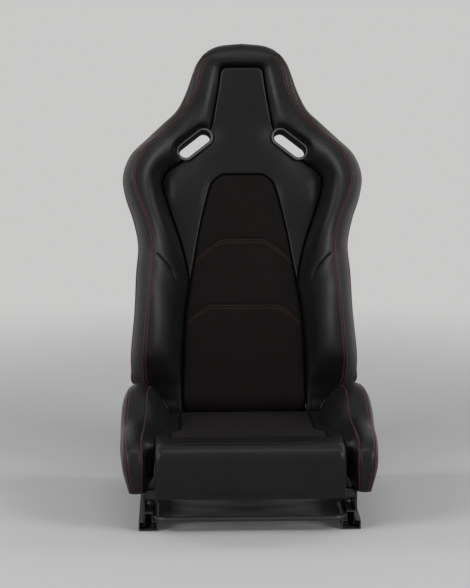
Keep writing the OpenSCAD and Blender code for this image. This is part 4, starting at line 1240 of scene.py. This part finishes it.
class SEAT_OT_back_insert(bpy.types.Operator):
    """Back insert: three matte panels joined by stitched seams"""
    bl_idname = "seat.back_insert"
    bl_label = "Back insert"

    def execute(self, context):
        looks, sewing = context.scene.seat_looks, context.scene.seat_stitching
        cloth = insert_cloth(looks)
        loops, lines = insert_loops()
        whole = np.vstack([INSERT_LINE, mirror_rows(INSERT_LINE[::-1])])
        for name, loop in zip(("lower", "middle", "upper"), loops):
            plan, triangles, _ = panel_plan(panel_outline(loop, 0.15))
            front = self.depth(plan, whole, lines)
            rear = np.maximum(back_n(plan[:, 1]) + SHELL_T + PAD_REST,
                              np.where(plan[:, 1] < 16, 10.0, 0))
            pad = panel_solid("insert_pad_" + name, plan, triangles, front,
                              np.minimum(rear, front - 3), back_world)
            finish_pad(pad, "backrest", cloth, "back_insert_" + name)
        rows = []
        for line in lines:
            for below in SEAM_ROWS:
                s = line - [0, below]
                s = s[np.abs(s[:, 0]) < insert_edge(s[:, 1]) - 5]
                points = np.column_stack([s, self.depth(s, whole, lines)])
                out = back_normals(np.tile([0.0, 0.0, 1.0], (len(s), 1)))
                rows.append((back_world(points), out))
        stitch_rows("insert_stitches", rows, "backrest", sewing,
                    thread("faded_thread", looks.insert_thread_colour))
        return {"FINISHED"}

    @staticmethod
    def depth(points, whole, lines):
        """Front of the insert: crowned, rolled at its edge and pinched at its seams."""
        d = loop_gap(points, whole)
        pinch = np.zeros(len(points))
        for line in lines:
            gap = line_gap(points, line)
            dips = [deep * np.exp(-(gap / reach) ** 2) for deep, reach in INSERT_PINCH]
            pinch = np.maximum(pinch, dips[0] + dips[1])
        soft = lookup(points[:, 1], INSERT_ROLL)
        start, length, deep = INSERT_TUCK
        foot = np.clip((start - points[:, 1]) / length, 0, 1)
        tuck = deep * (1 - np.sqrt(1 - foot * foot))
        gain, power = INSERT_SOFT
        edge = roll(d, soft) * gain / soft ** power
        return face_n(points[:, 1]) - edge - pinch - INSERT_SINK - tuck


class SEAT_OT_cushion(bpy.types.Operator):
    """Seat cushion with its front roll and its flat insert"""
    bl_idname = "seat.cushion"
    bl_label = "Seat cushion"

    def execute(self, context):
        looks = context.scene.seat_looks
        line = smooth_curve(CUSHION_LINE, 9)
        xs = self.across()
        grid = np.array([[self.point(x, y, z) for x in xs] for y, z in line]) * MM
        uvs = np.array([[(x * MM, along * MM) for x in xs] for along in lengths(line)])
        self.build(grid, uvs, leatherette(looks))
        self.insert(line, insert_cloth(looks))
        return {"FINISHED"}

    @staticmethod
    def across():
        """Places across the cushion, closer together at the insert's sides and at the ends."""
        ends = CUSHION_HALF - np.array(CUSHION_ENDS)
        half = np.unique(np.concatenate([np.linspace(0, 134, 16), CUSHION_SIDES, ends]))
        return np.concatenate([-half[:0:-1], half])

    @staticmethod
    def point(x, y, z):
        """Cushion surface: ends of the front roll turn down, the insert's bed is sunk."""
        # Ends of the front roll, which fade out towards the back
        drop = CUSHION_HALF - abs(x)
        if drop < CUSHION_END:
            t = 1 - drop / CUSHION_END
            middle, slow = CUSHION_FADE
            down, back = CUSHION_TURN
            front = 1 / (1 + math.exp((y - middle) / slow))
            turn = CUSHION_END * (1 - math.sqrt(max(0, 1 - t * t))) * front
            z -= turn * down
            y += turn * back
        # Bed of the insert and the pinched seam round it, on the top face only
        half = np.interp(y, [row[1] for row in INSERT_PLAN[:0:-1]],
                         [row[0] for row in INSERT_PLAN[:0:-1]])
        inside_bed = min(half - abs(x), y - BAR_Y)
        sink = BED_DEPTH / (1 + math.exp(-(inside_bed - 1.0) / BED_WALL))
        behind, above = BED_FROM
        if y < behind or z < above:
            sink = 0.0
        pinch = BED_PINCH * math.exp(-((inside_bed + 1) / 3.0) ** 2) if z > above else 0.0
        return (x, y, z - sink - pinch)

    @staticmethod
    def build(grid, uvs, leather):
        """Closes the cushion's surface with an underside and finishes it."""
        rows, cols = grid.shape[:2]
        underside, front_face = np.array(CUSHION_BACK_OF_ROLL) * MM
        low = grid.copy()
        low[:, :, 1] = np.clip(low[:, :, 1], underside, 1)
        low[:, :, 2] = np.where(grid[:, :, 1] < front_face, grid[:, :, 2], CUSHION_FLOOR * MM)
        verts = np.vstack([grid.reshape(-1, 3), low.reshape(-1, 3)])
        half = rows * cols
        faces = []
        for i in range(rows - 1):
            for j in range(cols - 1):
                a = i * cols + j
                faces.append((a, a + 1, a + cols + 1, a + cols))
                faces.append((half + a, half + a + cols, half + a + cols + 1, half + a + 1))
        rim = list(range(cols))
        rim += [(i + 1) * cols - 1 for i in range(1, rows)]
        rim += [(rows - 1) * cols + j for j in range(cols - 2, -1, -1)]
        rim += [i * cols for i in range(rows - 2, 0, -1)]
        for a, b in zip(rim, rim[1:] + rim[:1]):
            faces.append((b, a, half + a, half + b))
        uv = np.vstack([uvs.reshape(-1, 2), uvs.reshape(-1, 2)])
        pad = make_object("cushion_pad", verts, faces, uv)
        face_outwards(pad)
        finish_pad(pad, "seat_base", leather, "seat_cushion")

    @staticmethod
    def insert(line, cloth):
        """Flat insert in its bed, on the cushion's own line from the roll to the back."""
        right = np.array(INSERT_PLAN, float)
        loop = np.vstack([right[::-1], mirror_rows(right)])
        plan, triangles, edge = panel_plan(panel_outline(loop, 0.6))
        top = line[np.argmax(line[:, 1] > 188):]
        z = np.interp(plan[:, 1], top[:, 0], top[:, 1])
        d = loop_gap(plan, edge)
        crown = INSERT_CROWN * np.clip(d / 60, 0, 1)
        front = z + PROUD + crown - roll(d, 6.0)
        pad = panel_solid("seat_insert_pad", plan, triangles, front, z - INSERT_THICK,
                          lambda p: np.asarray(p) * MM)
        finish_pad(pad, "seat_base", cloth, "seat_insert")


class SEAT_OT_base_bolsters(bpy.types.Operator):
    """Base bolsters beside the cushion, with their seams and stitches"""
    bl_idname = "seat.base_bolsters"
    bl_label = "Base bolsters"

    def execute(self, context):
        looks, sewing = context.scene.seat_looks, context.scene.seat_stitching
        leather = leatherette(looks)
        stations = np.array([[*t, *q, *rest] for t, q, *rest in BASE_STATIONS], float)
        sections = [self.section(d) for d in smooth_curve(stations, STEPS)]
        grid, runs, seams = (np.array(values) for values in zip(*sections))
        grid = press_seams(grid, runs, seams.T, -BASE_SEAM_DEPTH)
        along = lengths(grid[:, grid.shape[1] // 2])
        uvs = np.stack([np.repeat(along[:, None], grid.shape[1], 1), runs], axis=-1) * MM
        rows = []
        off = sewing.row_offset / MM * 0.9
        first = BASE_ROWS_FROM
        for side in SIDES:
            shape = grid if side > 0 else mirror_rows(grid)
            pad = grid_solid("base_bolster_pad_" + SIDE_NAME[side], shape * MM, uvs)
            finish_pad(pad, "seat_base", leather,
                       "base_bolster_" + SIDE_NAME[side])
            for k, shift in ((0, -off), (1, -off), (1, off)):
                line, normals = seam_row(shape[first:], runs[first:], seams[first:, k] + shift)
                out = normals * (-1 if side > 0 else 1)
                rows.append((line * MM + out * STITCH_LIFT, out))
        stitch_rows("base_stitches", rows, "seat_base", sewing,
                    thread("thread", looks.thread_colour))
        return {"FINISHED"}

    @staticmethod
    def section(d):
        """Section between the spine and the top line at one station, with each point's run
        across it and the runs of its two seams."""
        top, spine = np.array(d[0:2]), np.array(d[2:4])
        foot, seam_in, seam_out, wide = d[4:8]
        reach = np.linalg.norm(top - spine)
        # The inner face starts under the cushion's edge, and lower past its two ends
        ledge = lookup(top[0], CUSHION_LINE[4:])
        level = np.clip((ledge - 6 - spine[1]) / max(top[1] - spine[1], 30), 0.0, 0.8)
        front = np.clip((-top[0] - 205) / 40, 0, 1)
        rear = np.clip((top[0] - 78) / 30, 0, 1)
        level = level * (1 - front) * (1 - rear) + 0.3 * max(front, rear)
        gain = BASE_INNER_HIGH - level
        profile = [(foot, max(level - 0.06, 0)), (foot + 1.5, level + 0.03)]
        profile += [(foot + (seam_in - foot) * x, level + gain * r) for x, r in BASE_INNER]
        profile += [(seam_in + (seam_out - seam_in) * x, r) for x, r in BASE_TOP]
        profile += [(seam_out + (wide - seam_out) * 0.62, 0.87)]
        profile += [(wide - x, r) for x, r in BASE_OUTER]
        curve = smooth_curve(np.array([(x, r * reach) for x, r in profile]), FINE)
        run = lengths(curve)
        a, b = run[5 * FINE], run[8 * FINE]
        first = ridge_steps(0, [80], 120, 5.0)
        first = first[first <= 80] / 80
        last = ridge_steps(0, [4], 120, 6.0)
        last = (last[last > 4] - 4) / 116
        where = np.concatenate([first * a, a + band_shares() * (b - a),
                                b + last * (run[-1] - b)])
        flat = at_lengths(curve, where)
        unit = (top - spine) / reach
        row = np.column_stack([flat[:, 0], spine[0] + flat[:, 1] * unit[0],
                               spine[1] + flat[:, 1] * unit[1]])
        return row, where, (a, b)


def body_of(node_name):
    """Name of the body that a node belongs to."""
    bodies = frame["record"]["behaviour"]["bodies"]
    return next(body for body, nodes in bodies.items() if node_name in nodes)


def repaint(node_name, material):
    """Gives a piece that is shown as it is its material."""
    mesh = frame["nodes"][node_name].data
    mesh.materials.clear()
    mesh.materials.append(material)


def rounded_piece(node_name, material, width, flat_faces=True):
    """Finished copy of a rigid piece: one skin, with its sharp edges rounded off."""
    piece = bpy.data.objects.new(node_name + "_rounded", frame["nodes"][node_name].data.copy())
    bpy.context.scene.collection.objects.link(piece)
    pick(piece)
    bpy.ops.object.mode_set(mode="EDIT")
    bpy.ops.mesh.select_all(action="SELECT")
    bpy.ops.mesh.remove_doubles(threshold=1e-5)
    if flat_faces:
        bpy.ops.mesh.dissolve_limited(angle_limit=math.radians(0.5))
    bpy.ops.mesh.normals_make_consistent(inside=False)
    bpy.ops.object.mode_set(mode="OBJECT")
    edge = piece.modifiers.new("rounding", "BEVEL")
    edge.width = width * MM
    edge.segments = 2
    edge.limit_method = "ANGLE"
    edge.angle_limit = math.radians(SHARP)
    apply_modifiers(piece)
    piece.data.materials.clear()
    piece.data.materials.append(material)
    shade(piece, SHARP)
    piece.modifiers.new("even_shading", "WEIGHTED_NORMAL").keep_sharp = True
    apply_modifiers(piece)
    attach(piece, body_of(node_name))
    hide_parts(node_name)


class SEAT_OT_shell(bpy.types.Operator):
    """Composite shell behind the backrest"""
    bl_idname = "seat.shell"
    bl_label = "Back shell"

    def execute(self, context):
        looks = context.scene.seat_looks
        gloss = surface("composite_shell", "Speckle", looks.shell_colour, 0.32, 900, 0.08,
                        0.0002, change=0.1, coat=0.6, coat_roughness=0.08)
        rounded_piece("back_shell", gloss, SHELL_EDGE, flat_faces=False)
        return {"FINISHED"}


class SEAT_OT_hardware(bpy.types.Operator):
    """Rails, base frame, recliner, covers and knobs, with rounded edges and their finishes"""
    bl_idname = "seat.hardware"
    bl_label = "Hardware"

    def execute(self, context):
        for part in frame["record"]["subparts"]:
            name, slot = part["node"], part["material_slot"]
            if slot not in HARDWARE:
                continue
            width, *look = HARDWARE[slot]
            finish = surface(slot, *look)
            if width:
                rounded_piece(name, finish, width)
            else:
                repaint(name, finish)
        return {"FINISHED"}


class SEAT_OT_slot_frames(bpy.types.Operator):
    """Rounded frames round the harness slots, over their sleeves; the frames' lighter grey is painted highlight
    and the sleeves' near black is painted shade
    """
    bl_idname = "seat.slot_frames"
    bl_label = "Slot frames"

    def execute(self, context):
        looks = context.scene.seat_looks
        # Frames get a lighter grey than the bezels' dark plastic: painted highlight along their rims
        highlight_satin = surface("satin_frame_painted_highlight", "Speckle", looks.frame_highlight_colour, 0.36, 1500, 0.12, 0.0001,
                        specular=0.4)
        # Bezel sleeves get a near black that barely reflects: painted shade round and inside the slots
        sleeve_shade = surface("sleeve_painted_shade", "Speckle", (0.004, 0.004, 0.0043), 0.85, 1100, 0.2,
                       0.0001, specular=0.06)
        front = float(face_n(SLOT_S)) + PROUD
        for side in SIDES:
            repaint("harness_bezel_" + SIDE_NAME[side], sleeve_shade)
            self.frame_ring(side, front, highlight_satin)
        return {"FINISHED"}

    @staticmethod
    def frame_ring(side, front, highlight_satin):
        """Stretched ring with a rounded section, laid round one slot."""
        deselect_all()
        bpy.ops.mesh.primitive_torus_add(
            major_segments=64, minor_segments=16, location=(0, 0, 0),
            major_radius=(SLOT_RADIUS + FRAME_REACH) * MM, minor_radius=FRAME_RADIUS * MM)
        ring = bpy.context.active_object
        ring.name = "slot_frame_" + SIDE_NAME[side]
        for end in (1, -1):
            bpy.ops.object.mode_set(mode="EDIT")
            bpy.ops.mesh.select_all(action="DESELECT")
            bpy.ops.object.mode_set(mode="OBJECT")
            for vert in ring.data.vertices:
                vert.select = vert.co.x * end > 1e-6
            bpy.ops.object.mode_set(mode="EDIT")
            bpy.ops.transform.translate(value=(end * SLOT_LENGTH / 2 * MM, 0, 0))
            bpy.ops.object.mode_set(mode="OBJECT")
        along = Vector(tuple(back_world((side * math.cos(SLOT_SLOPE), -math.sin(SLOT_SLOPE), 0))
                             - back_world((0, 0, 0)))).normalized()
        out = Vector(tuple(back_world((0, 0, 1)) - back_world((0, 0, 0)))).normalized()
        place = Matrix.Translation(Vector(tuple(back_world((side * SLOT_U, SLOT_S, front)))))
        turn = Matrix((along, out.cross(along), out)).transposed().to_4x4()
        ring.data.transform(place @ turn)
        face_outwards(ring)
        ring.data.materials.append(highlight_satin)
        shade(ring, 60)
        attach(ring, "backrest")


class SEAT_OT_stage(bpy.types.Operator):
    """Pale floor, soft studio light and the camera"""
    bl_idname = "seat.stage"
    bl_label = "Stage"

    def execute(self, context):
        stage = context.scene.seat_stage
        self.floor(stage)
        self.world(context.scene, stage)
        self.lamps(context.scene, stage)
        self.camera(context.scene, stage)
        context.scene.view_settings.view_transform = "Standard"
        return {"FINISHED"}

    @staticmethod
    def seen_rays(tree):
        """1 for what the camera sees directly, in a reflection or through glass."""
        path = add_node(tree, "ShaderNodeLightPath", (-900, 500))
        total = path.outputs["Is Camera Ray"]
        for k, label in enumerate(("Is Glossy Ray", "Is Transmission Ray")):
            add = add_node(tree, "ShaderNodeMath", (-700 + 180 * k, 500), operation="MAXIMUM")
            join(tree, (total, add.inputs[0]), (path.outputs[label], add.inputs[1]))
            total = add.outputs[0]
        return total

    @classmethod
    def floor(cls, stage):
        """Round floor that keeps the shadow and fades into the backdrop further out."""
        deselect_all()
        bpy.ops.mesh.primitive_circle_add(vertices=96, radius=9, fill_type="NGON",
                                          location=(0, 0, -0.0005))
        floor = bpy.context.active_object
        floor.name = "floor"
        bpy.ops.object.transform_apply(location=True)
        paint = bpy.data.materials.new("floor_paint")
        paint.use_nodes = True
        tree = paint.node_tree
        colour = (*stage.floor_colour, 1)
        shader = tree.nodes["Principled BSDF"]
        set_inputs(shader, {"Base Color": colour, "Roughness": 0.9, "Specular IOR Level": 0.1})
        coords = add_node(tree, "ShaderNodeTexCoord", (-900, 0))
        far = add_node(tree, "ShaderNodeVectorMath", (-700, 0), operation="LENGTH")
        fade = add_node(tree, "ShaderNodeMapRange", (-500, 0),
                        {"From Min": 0.75, "From Max": 2.6}, interpolation_type="SMOOTHSTEP")
        share = add_node(tree, "ShaderNodeMath", (-260, 200), operation="MULTIPLY")
        glow = add_node(tree, "ShaderNodeEmission", (0, -300), {"Color": colour})
        mix = add_node(tree, "ShaderNodeMixShader", (300, 200))
        join(tree, (coords.outputs["Object"], far.inputs[0]),
             (far.outputs["Value"], fade.inputs["Value"]), (fade.outputs[0], share.inputs[0]),
             (cls.seen_rays(tree), share.inputs[1]), (share.outputs[0], mix.inputs[0]),
             (shader.outputs[0], mix.inputs[1]), (glow.outputs[0], mix.inputs[2]),
             (mix.outputs[0], tree.nodes["Material Output"].inputs["Surface"]))
        floor.data.materials.append(paint)

    @classmethod
    def world(cls, scene, stage):
        """Soft fill all round; what is seen directly or reflected is the pale backdrop."""
        world = bpy.data.worlds.new("studio")
        scene.world = world
        world.use_nodes = True
        tree = world.node_tree
        light = tree.nodes["Background"]
        set_inputs(light, {"Color": (0.95, 0.97, 1.0, 1), "Strength": stage.fill})
        seen = add_node(tree, "ShaderNodeBackground", (0, -200),
                        {"Color": (*stage.floor_colour, 1), "Strength": 1.0})
        mix = add_node(tree, "ShaderNodeMixShader", (260, 100))
        join(tree, (cls.seen_rays(tree), mix.inputs[0]), (light.outputs[0], mix.inputs[1]),
             (seen.outputs[0], mix.inputs[2]),
             (mix.outputs[0], tree.nodes["World Output"].inputs["Surface"]))

    @staticmethod
    def lamps(scene, stage):
        """A key box above the front, large boxes at both sides and narrow ones behind."""
        for name, place, aim, width, height, share in LAMPS:
            lamp = bpy.data.lights.new(name, "AREA")
            lamp.shape = "RECTANGLE"
            lamp.size, lamp.size_y = width, height
            lamp.energy = stage.key_power * share
            obj = bpy.data.objects.new(name, lamp)
            obj.location = place
            way = Vector(aim) - obj.location
            obj.rotation_euler = way.to_track_quat("-Z", "Y").to_euler()
            scene.collection.objects.link(obj)

    @staticmethod
    def camera(scene, stage):
        """Camera in front and a little above."""
        target = Vector((0, 0, stage.camera_aim))
        turn, rise = stage.camera_turn, stage.camera_height
        way = Vector((math.sin(turn) * math.cos(rise), -math.cos(turn) * math.cos(rise),
                      math.sin(rise)))
        lens = bpy.data.cameras.new("camera")
        lens.sensor_fit = "HORIZONTAL"
        lens.sensor_width = 36.0
        lens.lens = FOCAL_PX / WIDTH_PX * lens.sensor_width
        lens.shift_x = (WIDTH_PX / 2 - MIDDLE_PX) / WIDTH_PX
        lens.clip_end = 100
        obj = bpy.data.objects.new("camera", lens)
        obj.location = target + way * stage.camera_distance
        obj.rotation_euler = (-way).to_track_quat("-Z", "Y").to_euler()
        scene.collection.objects.link(obj)
        scene.camera = obj


class SEAT_PT_panel(bpy.types.Panel):
    bl_label = "Sports Seat"
    bl_idname = "SEAT_PT_panel"
    bl_space_type = "VIEW_3D"
    bl_region_type = "UI"
    bl_category = "Seat"

    def draw(self, context):
        scene = context.scene
        for group in (scene.seat_looks, scene.seat_stitching, scene.seat_stage):
            box = self.layout.box()
            for key in group.bl_rna.properties.keys():
                if key not in ("rna_type", "name"):
                    box.prop(group, key)
        for step in STEPS_IN_ORDER:
            self.layout.operator(step.bl_idname)


STEPS_IN_ORDER = (SEAT_OT_bolsters, SEAT_OT_yoke, SEAT_OT_back_insert, SEAT_OT_cushion,
                  SEAT_OT_base_bolsters, SEAT_OT_shell, SEAT_OT_hardware,
                  SEAT_OT_slot_frames, SEAT_OT_stage)
CLASSES = (SeatLooks, SeatStitching, SeatStage, *STEPS_IN_ORDER, SEAT_PT_panel)


def register():
    """Registers the settings, the operators and the panel."""
    for item in CLASSES:
        bpy.utils.register_class(item)
    bpy.types.Scene.seat_looks = PointerProperty(type=SeatLooks)
    bpy.types.Scene.seat_stitching = PointerProperty(type=SeatStitching)
    bpy.types.Scene.seat_stage = PointerProperty(type=SeatStage)


def unregister():
    """Takes back what register adds."""
    del bpy.types.Scene.seat_stage
    del bpy.types.Scene.seat_stitching
    del bpy.types.Scene.seat_looks
    for item in reversed(CLASSES):
        bpy.utils.unregister_class(item)


def main():
    register()
    for step in STEPS_IN_ORDER:
        group, name = step.bl_idname.split(".")
        getattr(getattr(bpy.ops, group), name)()


if __name__ == "__main__":
    main()
